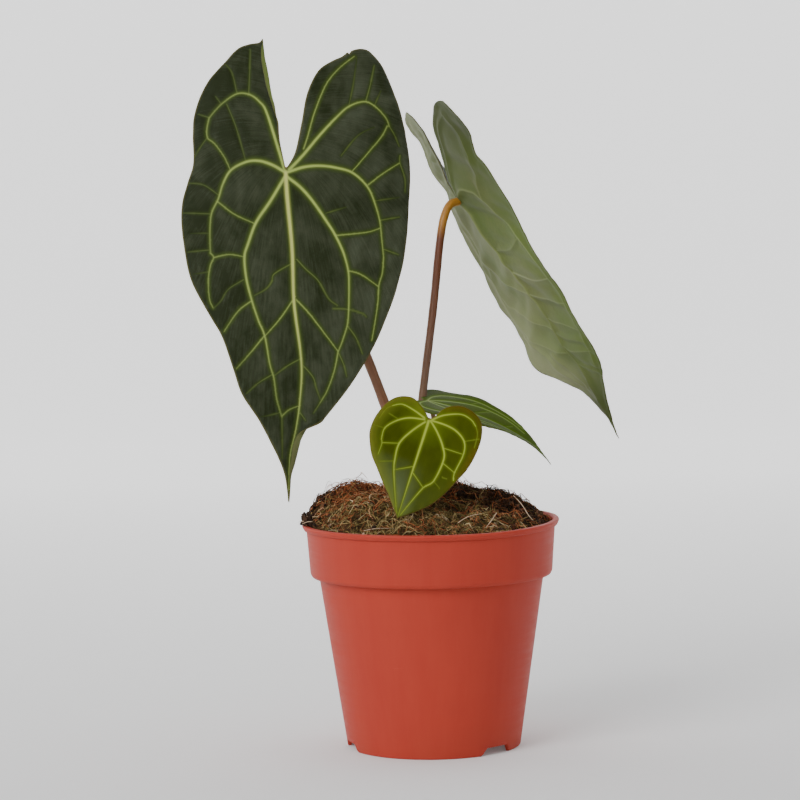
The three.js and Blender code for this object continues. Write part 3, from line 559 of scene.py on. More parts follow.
def tubes(paths, radii, sides):
    """Closed tubes along many paths at once: paths are (n, m, 3) and radii (n, m)."""
    n, m = radii.shape
    tangent = unit(np.gradient(paths, axis=1))
    reference = unit(np.cross(tangent[:, :1], [0.31, 0.22, 0.92]) + 1e-6)
    side = unit(reference - tangent * (reference * tangent).sum(-1, keepdims=True))
    other = np.cross(tangent, side)
    turn = np.arange(sides) * 2 * np.pi / sides
    ring = (side[:, :, None] * np.cos(turn)[:, None] + other[:, :, None] * np.sin(turn)[:, None])
    points = paths[:, :, None] + radii[:, :, None, None] * ring
    first = (np.arange(n) * m * sides)[:, None, None]
    a = first + (np.arange(m - 1) * sides)[:, None] + np.arange(sides)
    b = first + (np.arange(m - 1) * sides)[:, None] + (np.arange(sides) + 1) % sides
    walls = np.stack([np.stack([a, b, b + sides], -1), np.stack([a, b + sides, a + sides], -1)], -2)
    fan = np.array([(0, k + 1, k) for k in range(1, sides - 1)])
    starts = fan + first
    ends = fan[:, ::-1] + first + (m - 1) * sides
    triangles = np.vstack([walls.reshape(-1, 3), starts.reshape(-1, 3), ends.reshape(-1, 3)])
    return points.reshape(-1, 3), triangles


# Materials

def paint(shade):
    """A colour of 0 to 255 in each channel, as Blender wants it. Anything else stays as it is."""
    if not isinstance(shade, tuple) or len(shade) != 3:
        return shade
    shares = [value / 255 for value in shade]
    return (*(s / 12.92 if s <= 0.04045 else ((s + 0.055) / 1.055) ** 2.4 for s in shares), 1.0)


class Look:
    """A node material around one principled shader.

    A value is a socket, a number, the name of a field of the mesh, or a tuple with what range() takes.
    A shade is a socket, or red, green and blue from 0 to 255. Sockets of nodes go by their number.
    """

    def __init__(self, name, **constants):
        self.material = bpy.data.materials.new(name)
        self.material.use_nodes = True
        self.tree = self.material.node_tree
        self.shader = self.tree.nodes["Principled BSDF"]
        for key, value in constants.items():
            self.shader.inputs[key.replace("_", " ").title().replace("Ior", "IOR")].default_value = value

    def node(self, kind, inputs=None, output=0, **settings):
        made = self.tree.nodes.new("ShaderNode" + kind)
        for key, value in settings.items():
            setattr(made, key, value)
        for key, value in (inputs or {}).items():
            if isinstance(value, bpy.types.NodeSocket):
                self.tree.links.new(value, made.inputs[key])
            else:
                made.inputs[key].default_value = value
        return made.outputs[output]

    def value(self, given):
        if isinstance(given, str):
            return self.node("Attribute", attribute_name=given, output=2)
        return self.range(*given) if isinstance(given, tuple) else given

    def flat(self, name="flat"):
        return self.node("Attribute", attribute_name=name, output=1)

    def place(self):
        return self.node("TexCoord", output=3)

    def axis(self, vector, number=0):
        return self.node("SeparateXYZ", {0: vector}, output=number)

    def scaled(self, vector, by):
        return self.node("Mapping", {0: vector, 3: by})

    def noise(self, vector, scale, detail=3.0, roughness=0.55, distortion=0.0):
        """Noise with one scale, or with one for each axis."""
        if isinstance(scale, tuple):
            vector, scale = self.scaled(vector, scale), 1.0
        return self.node("TexNoise", {0: vector, 2: scale, 3: detail, 4: roughness, 8: distortion})

    def chain(self, operation, first, *others):
        result = self.value(first)
        for other in others:
            result = self.node("Math", {0: result, 1: self.value(other)}, operation=operation)
        return result

    def plus(self, *values):
        return self.chain("ADD", *values)

    def times(self, *values):
        return self.chain("MULTIPLY", *values)

    def range(self, value, low, high, to_low=0.0, to_high=1.0):
        return self.node("MapRange", {0: self.value(value), 1: low, 2: high, 3: to_low, 4: to_high})

    def mix(self, share, a, b, blend="MIX"):
        inputs = {0: share, 6: paint(a), 7: paint(b)}
        return self.node("Mix", inputs, output=2, data_type="RGBA", blend_type=blend)

    def coated(self, base, *coats):
        """The base with coats over it, each a shade and the values whose product is its strength."""
        for shade, *values in coats:
            base = self.mix(self.times(*values), base, shade)
        return base

    def tinted(self, base, *by):
        return self.mix(1.0, base, (*by, 1), "MULTIPLY")

    def ramp(self, value, *stops):
        output = self.node("ValToRGB", {0: self.value(value)})
        elements = output.node.color_ramp.elements
        while len(elements) < len(stops):
            elements.new(0.5)
        for element, (at, shade) in zip(elements, stops):
            element.position = at
            element.color = paint(shade)
        return output

    def bump(self, height, distance, strength):
        self.link("Normal", self.node("Bump", {0: strength, 1: distance, 3: height}))

    def link(self, socket, value):
        self.tree.links.new(value, self.shader.inputs[socket])


# Blades

def outline_of(leaf, step):
    """The closed outline, from the sinus round the right half to the tip and back."""
    right = even(spline(leaf["right"]), step)
    left = even(spline(leaf["left"]), step)
    return np.vstack([right, left[-2:0:-1]])


def vein_lines(leaf):
    """Each vein as its points, half widths, strength and rank, the midrib first."""
    y = np.linspace(-0.3, -leaf["length"] * 0.975, 60)
    midrib = [("midrib", np.stack([through(leaf["sway"], y), y], 1))]
    fading = leaf["fading"]
    lines = []
    for rank, points in midrib + leaf["veins"]:
        start, end, strength, end_fade, left_fade = RANKS[rank]
        line = even(spline(points), 0.3)
        share = np.linspace(0, 1, len(line))
        fade = strength * (1 - fading * end_fade * smoothstep(0.25, 1.0, share))
        fade = fade * (1 - fading * left_fade * smoothstep(2, 26, -line[:, 0]))
        fade = fade * (1 - TIP_FADE * smoothstep(0.4, 1.0, -line[:, 1] / leaf["length"]))
        lines.append((line, leaf["vein_scale"] * (start + (end - start) * share), fade, rank))
    return lines


def curl_strip(curl):
    """Points close together where a margin rolls over."""
    ys = [y for y, _ in curl["line"]]
    far, y = np.meshgrid(np.arange(-0.4, 4.2, 0.34), np.arange(min(ys) - 1, max(ys) + 3, 0.6))
    return np.stack([through(curl["line"], y).ravel() + far.ravel(), y.ravel()], 1)


def blade_layout(leaf, lines):
    """The flat blade as points and triangles, closest together along its veins.

    Each layer of points keeps a share of the spacing between its own points and those before it.
    """
    spacing = leaf["spacing"]
    outline = outline_of(leaf, spacing * 0.75)
    centres, beside = [], []
    for line, widths, _, _ in lines:
        centre = line[::2]
        ahead = unit(np.gradient(centre, axis=0))
        sideways = np.stack([-ahead[:, 1], ahead[:, 0]], 1)
        centres.append(centre)
        wide = widths.max() > 0.4
        for offset in (0.55, 1.15, 2.0) if wide else (1.2, 2.6):
            for sign in (1, -1):
                beside.append(centre + sideways * sign * offset * widths[::2, None])
    low, high = outline.min(0), outline.max(0)
    columns, rows = (np.arange(low[k], high[k], spacing * step) for k, step in ((0, 1), (1, 0.866)))
    grid = [staggered(columns, rows, spacing / 2)]
    curled = [curl_strip(curl) for curl in leaf["curls"]]
    kept = outline
    for layer, clearance in ((centres, 0.34), (beside, 0.36), (curled, 0.36), (grid, 0.66)):
        if not layer:
            continue
        clearance *= spacing
        found = np.vstack(layer)
        found = found[inside(found, outline)]
        first = np.unique(np.round(found / clearance).astype(int), axis=0, return_index=True)[1]
        found = found[np.sort(first)]
        distance = nearest(tree_of(kept), found)[1]
        kept = np.vstack([kept, found[distance > clearance]])
    n = len(outline)
    points, triangles = triangulated(kept, [(i, (i + 1) % n) for i in range(n)])
    return points, triangles[inside(points[triangles].mean(1), outline)]


def vein_fields(leaf, lines, points):
    """How much each point is vein core, vein glow and midrib, and how far it is from any vein."""
    core, glow, rib = (np.zeros(len(points)) for _ in range(3))
    gap = np.full(len(points), 1e3)
    for rank in RANKS:
        chosen = [row[:3] for row in lines if row[3] == rank]
        if not chosen:
            continue
        line, widths, strengths = (np.concatenate(column) for column in zip(*chosen))
        index, distance = nearest(tree_of(line), points)
        width, strength = widths[index], strengths[index]
        inner = strength * (1 - smoothstep(0.05, 1.5, distance / width))
        core = np.maximum(core, inner)
        reach = 1.1 * width + 0.75 * leaf["vein_scale"]
        glow = np.maximum(glow, strength * np.exp(-(distance / reach) ** 2))
        gap = np.minimum(gap, distance / np.maximum(strength, 0.05) ** 0.7)
        if rank == "midrib":
            rib = inner
    return core, glow, rib, gap


def blade_surface(leaf, x, y):
    """The blade's middle surface: its flat outline curled, folded, rolled, waved and bent."""
    x, y = np.array(x, float), np.array(y, float)
    lift = np.zeros_like(x)
    for curl in leaf["curls"]:
        past = x - through(curl["line"], y)
        near = (y > curl["line"][0][0] - 2) if curl["line"][0][0] > 0 else (y < curl["line"][0][0] + 2)
        start, full = curl["fade"]
        most = math.radians(curl["turn"]) * smoothstep(0, 1, (y - start) / (full - start))
        radius = curl["radius"]
        angle = np.minimum(np.clip(past / radius, 0, None), most)
        rest = np.maximum(past - radius * most, 0)
        on = near & (past > 0) & (past < 8)
        now = np.where(on, radius * np.sin(angle) + rest * np.cos(angle), past)
        lift = lift + np.where(on, radius * (1 - np.cos(angle)) + rest * np.sin(angle), 0)
        x = x + now - past
    sway = through(leaf["sway"], y)
    reach = np.abs(x - sway)
    side = np.where(x >= sway, 1.0, -1.0)
    width = leaf["half_width"]
    fold = np.radians(np.where(side > 0, through(leaf["fold_right"], y), through(leaf["fold_left"], y)))
    bend = np.radians(through(leaf["roll"], y)) / width
    bend = np.where(np.abs(bend) < 1e-7, 1e-7, bend)
    out = (np.sin(fold + bend * reach) - np.sin(fold)) / bend
    up = (np.cos(fold) - np.cos(fold + bend * reach)) / bend
    height, length = leaf["wave"]
    share = np.clip((reach / width - 0.3) / 0.7, 0, 1.3) ** 2
    up = up + height * share * np.sin(2 * np.pi * y / length + side * 0.9) + lift
    grid = np.linspace(-leaf["length"] * 1.05, leaf["length"] * 0.6, 800)
    slopes = np.radians(through(leaf["slope"], grid))
    step = grid[1] - grid[0]
    rise, lean = (np.concatenate([[0], np.cumsum(wave((slopes[1:] + slopes[:-1]) / 2) * step)])
                  for wave in (np.cos, np.sin))
    rise -= np.interp(0, grid, rise)
    lean -= np.interp(0, grid, lean)
    slope = np.radians(through(leaf["slope"], y))
    flat = np.stack([
        sway + side * out,
        np.interp(y, grid, rise) - up * np.sin(slope),
        np.interp(y, grid, lean) + up * np.cos(slope),
    ], -1)
    along = unit(np.array(leaf["along"], float))
    face = np.array(leaf["face"], float)
    face = unit(face - along * (face @ along))
    axes = np.stack([np.cross(along, face), along, face])
    return flat @ axes + np.array(leaf["base"], float)


def blade_normal(leaf, x, y):
    """The way the upper face looks, from places a little to each side."""
    d = 0.25
    across = blade_surface(leaf, x + d, y) - blade_surface(leaf, x - d, y)
    down = blade_surface(leaf, x, y + d) - blade_surface(leaf, x, y - d)
    return unit(np.cross(across, down))


def blade(leaf, upper_look, lower_look):
    """A blade with both its faces, its veins sunk above and standing out below.

    It bulges between veins (quilt), waves at its margin (ruffle), has a fine grain (crinkle) and, where
    the leaf asks for it, broad folds (swell). Reaches are in mm for a blade as large as the left one.
    """
    lines = vein_lines(leaf)
    flat, triangles = blade_layout(leaf, lines)
    core, glow, rib, gap = vein_fields(leaf, lines, flat)
    margin = nearest(tree_of(outline_of(leaf, 0.3)), flat)[1]
    x, y = flat.T
    middle = blade_surface(leaf, x, y)
    normal = blade_normal(leaf, x, y)
    size = leaf["half_width"] / LEAF_LEFT["half_width"]
    quilt = leaf["quilt"] * (1 - np.exp(-(gap / (4.5 * size)) ** 2)) * smoothstep(0, 4 * size, margin)
    spots = np.stack([x, y, np.full(len(x), float(leaf["length"]))], 1)
    ruffle = 0.5 * size * rough(spots, 0.11 / size, 2) * np.exp(-margin / (9 * size))
    crinkle = 0.05 * rough(spots, 0.8, 2) * (1 - core)
    waves = np.stack([y + 0.5 * np.abs(x), 0.3 * x, spots[:, 2]], 1)
    swell = leaf["swell"] * rough(waves, 0.065, 2) * smoothstep(0, 14 * size, margin)
    lift = quilt + ruffle + crinkle + swell
    half = leaf["thickness"] / 2 * (0.5 + 0.5 * smoothstep(0, 1.5 * size, margin))
    relief = leaf["vein_scale"] * smoothstep(0, 3 * size, margin)
    upper = middle + normal * (lift + half - VEIN_SUNK * core * relief)[:, None]
    lower = middle + normal * (lift - half - (VEIN_STANDS * core + RIB_STANDS * rib) * relief)[:, None]
    far = np.hypot(x, y)
    fields = dict(
        core=core, glow=glow, rib=rib, gap=gap, margin=margin, flat=spots,
        share=np.clip(-y / leaf["length"], -0.4, 1),
        sweep=np.stack([np.arctan2(x, -y) * 8 * np.sqrt(far), far, 0 * x], 1))
    fields = {key: np.concatenate([values, values]) for key, values in fields.items()}
    faces, part = closed_sheet(triangles, len(flat))
    return piece("leaf_" + leaf["name"], np.vstack([upper, lower]), faces, [upper_look, lower_look],
                 leaf["slot"], "blade_" + leaf["name"], part, **fields)


def velvet_look(name, deep, band, painted_grey_sheen, green, edge, vein, rib, margin, painted_sheen_share=1.0, young=False):
    """An upper face: dark velvet with a painted grey sheen between veins that glow green around them."""
    specular, sheen, size, rim_width = (0.06, 0.01, 2.2, 0.45) if young else (0.12, 0.035, 1.0, 0.9)
    look = Look(name, roughness=0.6, specular_ior_level=specular, sheen_weight=sheen, sheen_roughness=0.35)
    flat = look.flat()
    broad = look.noise(flat, (0.05 * size, 0.036 * size, 1), 2.0, 0.5, 0.6)
    blotches = look.noise(flat, (0.17 * size, 0.12 * size, 1), 3.0, 0.55, 0.5)
    streaks = look.noise(look.flat("sweep"), (1.0 * size, 0.075 * size, 1), 4.0, 0.65, 0.3)
    grain = look.noise(flat, (1.5 * size, 1.2 * size, 1), 3.0, 0.65)
    # Patches of painted grey sheen, leaning towards the blade's right.
    patches = look.plus((broad, 0.3, 0.7, -0.04, 0.5), (blotches, 0.34, 0.66, -0.12, 0.13),
                        look.times(look.axis(flat), 0.0045),
                        (streaks, 0.34, 0.68, -0.15, 0.19), (grain, 0.3, 0.7, -0.06, 0.06))
    # The grey laid over the dark ground between the veins is a painted sheen.
    ground = look.coated(
        deep, (band, ("gap", 0.5, 3.0 / size, 1.0, 0.0)),
        (painted_grey_sheen, (patches, 0.0, 1.0), ("gap", 0.6 / size, 3.2 / size), painted_sheen_share))
    if young:
        left_side = look.range(look.axis(flat), -4, 6, 1, 0.08)
        from_base = look.node("VectorMath", {0: look.scaled(flat, (1, 1, 0))}, 1, operation="LENGTH")
        # The first coat, greyish green on the lower part of the left half, is a painted sheen.
        ground = look.coated(
            ground, ((90, 101, 70), ("share", 0.4, 0.85, 0.0, 0.95), left_side),
            ((100, 110, 32), ("margin", 0.5, 6.5, 0.75, 0.0), left_side),
            ((104, 78, 18), ("margin", 0.3, 4.0, 1.0, 0.0), ("share", 0.25, 0.7, 1.0, 0.1),
             (broad, 0.3, 0.7, 0.1, 0.5)),
            ((100, 118, 8), (from_base, 1.0, 14.0, 0.5, 0.0)))
    look.link("Base Color", look.coated(
        ground, (green, ("glow", 0.05, 0.85)), (edge, ("core", 0.02, 0.5)), (vein, ("core", 0.35, 0.98)),
        (rib, "rib", ("share", 0.15, 0.75, 1.0, 0.1)), (margin, ("margin", 0.1, rim_width, 0.9, 0.0))))
    look.bump(look.plus(grain, look.times(streaks, 0.5)), 0.00022, 0.5)
    return look.material


def underside_look(name, pale, dark, green, painted_silver_sheen, vein, rib_shade, top_shade=0.9):
    """A lower face: matt and pale, with a painted silver sheen on one half, greener on the other, dark at
    its tip.
    """
    look = Look(name, roughness=0.58, specular_ior_level=0.14, sheen_weight=0.02, sheen_roughness=0.5)
    flat = look.flat()
    broad = look.noise(flat, (0.06, 0.03, 1), 2.0, 0.5, 0.4)
    fine = look.noise(flat, (1.1, 0.4, 1), 3.0, 0.6)
    side = look.range(look.axis(flat), -3, 9)
    look.link("Base Color", look.coated(
        pale, (green, (broad, 0.35, 0.65)), (dark, (fine, 0.4, 0.75, 0.0, 0.35)),
        (green, (side, 0, 1, 0.9, 0), ("margin", 1, 22, 1, 0)),
        (dark, ("share", -0.2, 0.2, top_shade, 0.0), (side, 0, 1, 1, 0.2)),
        # Painted silver sheen on one half, towards the margin and the tip.
        (painted_silver_sheen, side, ("margin", 3, 20, 0.9, 0.3), ("share", 0.25, 0.6, 0.75, 1.0)),
        (vein, "core", ("share", -0.05, 0.3, 0.25, 0.62)),
        (rib_shade, "rib", ("share", 0.2, 0.65, 0.05, 0.5)),
        (dark, ("share", 0.71, 0.86, 0, 0.85)), (dark, ("margin", 0.1, 0.6, 0.6, 0.0))))
    look.bump(fine, 0.0001, 0.3)
    return look.material


def make_blades():
    """The four blades, each with the looks of its upper and its lower face."""
    # The grey of each upper face is a painted sheen.
    dark_green = velvet_look(
        "velvet_green", deep=(28, 35, 11), band=(34, 45, 9), painted_grey_sheen=(70, 75, 58), green=(66, 80, 28),
        edge=(98, 112, 58), vein=(154, 170, 86), rib=(184, 186, 104), margin=(94, 90, 52))
    olive = velvet_look(
        "velvet_olive", deep=(54, 62, 0), band=(60, 71, 1), painted_grey_sheen=(76, 82, 3), green=(86, 100, 12),
        edge=(112, 127, 38), vein=(152, 166, 62), rib=(154, 168, 62), margin=(112, 92, 44),
        painted_sheen_share=0.6, young=True)
    narrow_green = velvet_look(
        "velvet_narrow", deep=(66, 82, 20), band=(70, 92, 20), painted_grey_sheen=(86, 98, 42), green=(88, 110, 32),
        edge=(108, 128, 56), vein=(142, 160, 92), rib=(142, 160, 92), margin=(84, 94, 38), painted_sheen_share=0.6)
    # The silver of each lower face is a painted sheen.
    grey_underside = underside_look(
        "underside_grey", pale=(96, 104, 55), dark=(61, 68, 35), green=(83, 99, 41),
        painted_silver_sheen=(138, 143, 108), vein=(148, 156, 110), rib_shade=(66, 75, 36))
    soft_underside = underside_look(
        "underside_soft", pale=(98, 106, 60), dark=(72, 72, 40), green=(90, 103, 50),
        painted_silver_sheen=(108, 115, 72), vein=(144, 152, 102), rib_shade=(72, 81, 42), top_shade=0.0)
    olive_underside = underside_look(
        "underside_olive", pale=(122, 124, 48), dark=(100, 84, 34), green=(110, 116, 36),
        painted_silver_sheen=(128, 130, 60), vein=(150, 152, 84), rib_shade=(134, 136, 62))
    blade(LEAF_LEFT, dark_green, soft_underside)
    blade(LEAF_RIGHT, dark_green, grey_underside)
    blade(LEAF_FRONT, olive, olive_underside)
    blade(LEAF_NARROW, narrow_green, soft_underside)


# Stalks and crown

def centripetal(points, per_span=20):
    """A smooth curve through points that never loops between them."""
    p = np.asarray(points, float)
    p = np.vstack([2 * p[0] - p[1], p, 2 * p[-1] - p[-2]])
    t = (np.arange(per_span) / per_span)[:, None]
    spans = []
    for a, b, c, d in zip(p, p[1:], p[2:], p[3:]):
        before, own, after = (np.linalg.norm(q - r) ** 0.5 for q, r in ((b, a), (c, b), (d, c)))
        leave = own * ((b - a) / before - (c - a) / (before + own) + (c - b) / own)
        arrive = own * ((c - b) / own - (d - b) / (own + after) + (d - c) / after)
        spans.append(b * (1 + 2 * t) * (1 - t) ** 2 + c * t * t * (3 - 2 * t)
                     + leave * t * (1 - t) ** 2 - arrive * t * t * (1 - t))
    return np.vstack(spans + [p[-2:-1]])


def stalk_look(name, low, middle, high, joint):
    """Smooth, slightly waxy stalk skin with fine streaks along it."""
    look = Look(name, roughness=0.42, specular_ior_level=0.4)
    streaks = look.noise(look.flat(), (1.6, 0.06, 1), 3.0, 0.6)
    mottle = look.noise(look.flat(), (0.8, 0.5, 1), 3.0, 0.6)
    base = look.ramp("share", (0.0, low), (0.45, middle), (0.84, high), (0.9, joint), (1.0, joint))
    look.link("Base Color", look.coated(
        base, (look.tinted(base, 0.45, 0.42, 0.4), (streaks, 0.35, 0.7, 0.0, 0.5)),
        (look.tinted(base, 1.5, 1.45, 1.4), (mottle, 0.58, 0.72, 0.0, 0.35))))
    look.bump(streaks, 0.00008, 0.4)
    return look.material


def make_stalks():
    """Tapered stalks, wider at the foot, with a swollen joint below each blade."""
    brown = stalk_look("stalk_brown", (140, 94, 66), (138, 92, 64), (140, 100, 70), (160, 134, 92))
    amber = stalk_look("stalk_amber", (126, 96, 68), (110, 76, 54), (112, 60, 34), (176, 122, 44))
    light = stalk_look("stalk_light", (138, 98, 66), (146, 108, 68), (150, 120, 70), (160, 150, 80))
    looks = dict(left=brown, right=amber, front=light, narrow=light)
    for name, stalk in STALKS.items():
        path = even(centripetal(stalk["path"]), 1.0)
        share = np.linspace(0, 1, len(path))
        plain = stalk["radius"]
        foot = (stalk["foot"] - plain) * np.clip(1 - share / 0.18, 0, None)
        joint = (stalk["joint"] - plain) * smoothstep(0.88, 0.93, share)
        along = np.arange(len(path))
        radius = (plain + foot + joint) * (1 + 0.02 * np.sin(along * 0.31) + 0.012 * np.sin(along * 0.83))
        points, triangles = tubes(path[None], radius[None], STALK_SIDES)
        around = np.tile(np.arange(STALK_SIDES) / STALK_SIDES * 2 * np.pi, len(path))
        width, share = np.repeat(radius, STALK_SIDES) * 2, np.repeat(share, STALK_SIDES)
        flat = np.stack([width * np.cos(around), share * len(path), width * np.sin(around)], 1)
        piece("petiole_" + name, points, triangles, [looks[name]], "stalk", "stalk_" + name,
              share=share, flat=flat)


def strip(path, widths, outward, thickness):
    """A thin curved strip with two faces and a closed rim, as points and triangles."""
    path = np.asarray(path, float)
    m = len(path)
    count = 7
    ahead = unit(np.gradient(path, axis=0))
    sideways = unit(np.cross(ahead, outward))
    normal = np.cross(sideways, ahead)
    across = np.linspace(-1, 1, count)
    cup = 0.35 * (1 - across ** 2)
    grid = (path[:, None] + sideways[:, None] * (across[:, None] * widths[:, None, None] / 2)
            + normal[:, None] * (cup[:, None] * widths[:, None, None]))
    top = grid + normal[:, None] * thickness / 2
    low = grid - normal[:, None] * thickness / 2
    points = np.vstack([top.reshape(-1, 3), low.reshape(-1, 3)])
    n = m * count
    index = np.arange(n).reshape(m, count)
    a, b = index[:-1, :-1].ravel(), index[:-1, 1:].ravel()
    c, d = index[1:, 1:].ravel(), index[1:, :-1].ravel()
    return points, closed_sheet(np.vstack([np.stack([a, b, c], 1), np.stack([a, c, d], 1)]), n)[0]


def sheath_look():
    """Dry brown fibre with dull green patches."""
    look = Look("dry_sheath", roughness=0.8, specular_ior_level=0.25)
    place = look.place()
    along = look.noise(place, (900, 900, 60), 4.0, 0.65)
    patch = look.noise(place, 180.0, 3.0, 0.6)
    fibre = look.ramp(along, (0.3, (60, 40, 26)), (0.5, (112, 82, 52)), (0.68, (158, 128, 86)))
    look.link("Base Color", look.coated(fibre, ((76, 74, 40), (patch, 0.4, 0.65, 0, 0.6))))
    look.bump(along, 0.0004, 0.7)
    return look.material


def make_crown():
    """The short stem between the stalks: a ringed knob wrapped in dry sheaths of shed leaves."""
    rng = np.random.default_rng(11)
    middle = np.array([CROWN["x"], CROWN["y"], 0])
    rings, sides = 40, 48
    up = np.linspace(0, 1, rings)[:, None]
    z = CROWN["low_z"] + up * (CROWN["top_z"] - CROWN["low_z"])
    profile = np.interp(up, [0, 0.3, 0.62, 0.85, 0.96, 1], [0.72, 0.86, 0.97, 0.86, 0.62, 0.1])
    turn = np.arange(sides) * 2 * np.pi / sides
    bumps = 1 + 0.05 * np.sin(up * 42 + 0.8 * np.sin(turn)) + 0.03 * np.sin(5 * turn + 9 * up)
    radius = CROWN["radius"] * profile * bumps
    knob = turned(radius, turn, z)
    faces = ring_walls(rings, sides)[1]
    fan = np.array([(0, k, k + 1) for k in range(1, sides - 1)])
    faces += [fan[:, ::-1], fan + (rings - 1) * sides]
    parts = [(knob.reshape(-1, 3) + middle, np.vstack(faces))]
    for k in range(CROWN["sheaths"]):
        angle = 2 * math.pi * k / CROWN["sheaths"] + rng.uniform(-0.25, 0.25)
        tall = rng.uniform(9, 17)
        t = np.linspace(0, 1, 16)
        reach = CROWN["sheath_reach"] - 2.4 * t + 1.3 * t ** 3 * rng.uniform(0.4, 1.6)
        twist = angle + 0.3 * rng.uniform(-1, 1) * t
        path = turned(reach, twist, CROWN["sheath_z"] + tall * t) + middle
        widths = rng.uniform(6.5, 9) * (1 - t) ** 0.75 + 0.25
        parts.append(strip(path, widths, turned(1, twist, 0), CROWN["sheath_thickness"]))
    points, triangles = merged(parts)
    piece("crown_sheaths", points, triangles, [sheath_look()], "crown", "crown")


# Pot

def rounded(corners, steps=5):
    """A profile with each (radius, z, rounding) corner turned into an arc of points."""
    line = []
    last = len(corners) - 1
    for i, (r, z, rounding) in enumerate(corners):
        corner = np.array([r, z], float)
        if rounding == 0 or i in (0, last):
            line.append(corner)
            continue
        before, after = (np.array(corners[i + k][:2], float) for k in (-1, 1))
        start = corner + unit(before - corner) * rounding
        end = corner + unit(after - corner) * rounding
        for t in np.linspace(0, 1, steps):
            line.append(start * (1 - t) ** 2 + corner * 2 * t * (1 - t) + end * t ** 2)
    return np.array(line)


def pot_profile():
    """From the middle of the underside round to the middle of the floor, as the frame's pot."""
    foot, shoulder, shoulder_z = POT["foot_radius"], POT["shoulder_radius"], POT["shoulder_z"]
    low, low_z, top, lip = (POT[key] for key in (
        "collar_low_radius", "collar_low_z", "collar_top_radius", "lip_radius"))
    floor_z, wall, height = POT["floor_z"], POT["wall"], POT["height"]
    lip_z = height - POT["lip_height"]
    slope = (shoulder - foot) / shoulder_z
    foot_inner = foot - POT["foot_width"]
    return rounded([
        (0, floor_z, 0), (foot_inner + 0.3, floor_z, 0.3), (foot_inner, 0, 0.4), (foot, 0, 0.6),
        *((foot + slope * z, z, 0) for z in (4, 8, 26, 52)),
        (shoulder, shoulder_z, 0.3), (shoulder + 3.3, shoulder_z + 0.5, 0.3), (low, low_z, 0.5),
        (top, lip_z, 0.2), (lip - 1.0, lip_z + 0.2, 0.3), (lip - 0.1, height - 0.9, 0.3),
        (lip - 0.3, height - 0.2, 0.3), (lip - 1.0, height, 0.3), (top - 0.4, height, 0.3),
        (top - wall, height - 0.9, 0.4), (low - wall, low_z + 0.8, 0.4),
        (low - wall - 0.8, low_z - 0.2, 0.4), (shoulder - wall + 0.1, shoulder_z + wall, 0.4),
        (foot + slope * (floor_z + wall) - wall, floor_z + wall, 0.6), (0, floor_z + wall, 0),
    ])


def notch_height(turns):
    """How high the foot is cut away at each angle, measured from the front."""
    cut = np.zeros(len(turns))
    for centre in NOTCH["centres"]:
        off = (np.degrees(turns) + 90 - centre + 180) % 360 - 180
        arc = np.abs(np.radians(off)) * POT["foot_radius"]
        ramp = np.clip((NOTCH["half_width"] + NOTCH["slope"] / 2 - arc) / (NOTCH["slope"] * 1.5), 0, 1)
        cut = np.maximum(cut, ramp * NOTCH["height"])
    return cut


def pot_look():
    """Satin moulded plastic in a terracotta colour, a little dusty, with faint upright streaks."""
    look = Look("terracotta_plastic", roughness=0.42, specular_ior_level=0.12)
    place = look.place()
    streaks = look.noise(place, (150, 150, 4), 4.0, 0.7)
    cloud = look.noise(place, 26.0, 4.0, 0.6)
    specks = look.noise(place, 900.0, 2.0, 0.5)
    scuffs = look.noise(place, (40, 40, 420), 4.0, 0.7, 0.6)
    look.link("Base Color", look.coated(
        (170, 60, 46), ((162, 52, 40), (streaks, 0.36, 0.64, 0.0, 0.4)),
        ((184, 66, 48), (cloud, 0.45, 0.75, 0.0, 0.22)), ((196, 92, 72), (scuffs, 0.66, 0.8, 0.0, 0.25)),
        ((150, 66, 46), (look.axis(place, 2), 0.0, 0.016, 0.35, 0.0), (cloud, 0.4, 0.7))))
    look.link("Roughness", look.range(look.plus(cloud, scuffs), 0.7, 1.3, 0.42, 0.56))
    look.bump(look.plus(look.times(streaks, 0.6), look.times(specks, 0.25)), 0.00012, 0.35)
    return look.material


def drill(pot):
    """Cuts the drain holes through the pot's floor."""
    cutters = []
    for k in range(DRAIN["count"]):
        place = turned(DRAIN["circle"], 2 * math.pi * k / DRAIN["count"], POT["floor_z"] + POT["wall"] / 2)
        bpy.ops.mesh.primitive_cylinder_add(
            vertices=32, radius=DRAIN["radius"] * MM, depth=DRAIN["cutter"] * MM, location=put(place))
        cutters.append(bpy.context.object)
    for cutter in cutters:
        hole = pot.modifiers.new("drain", "BOOLEAN")
        hole.operation = "DIFFERENCE"
        hole.solver = "EXACT"
        hole.object = cutter
    bpy.context.view_layer.update()
    shaped = bpy.data.meshes.new_from_object(pot.evaluated_get(bpy.context.evaluated_depsgraph_get()))
    pot.modifiers.clear()
    pot.data = shaped
    for cutter in cutters:
        bpy.data.objects.remove(cutter)


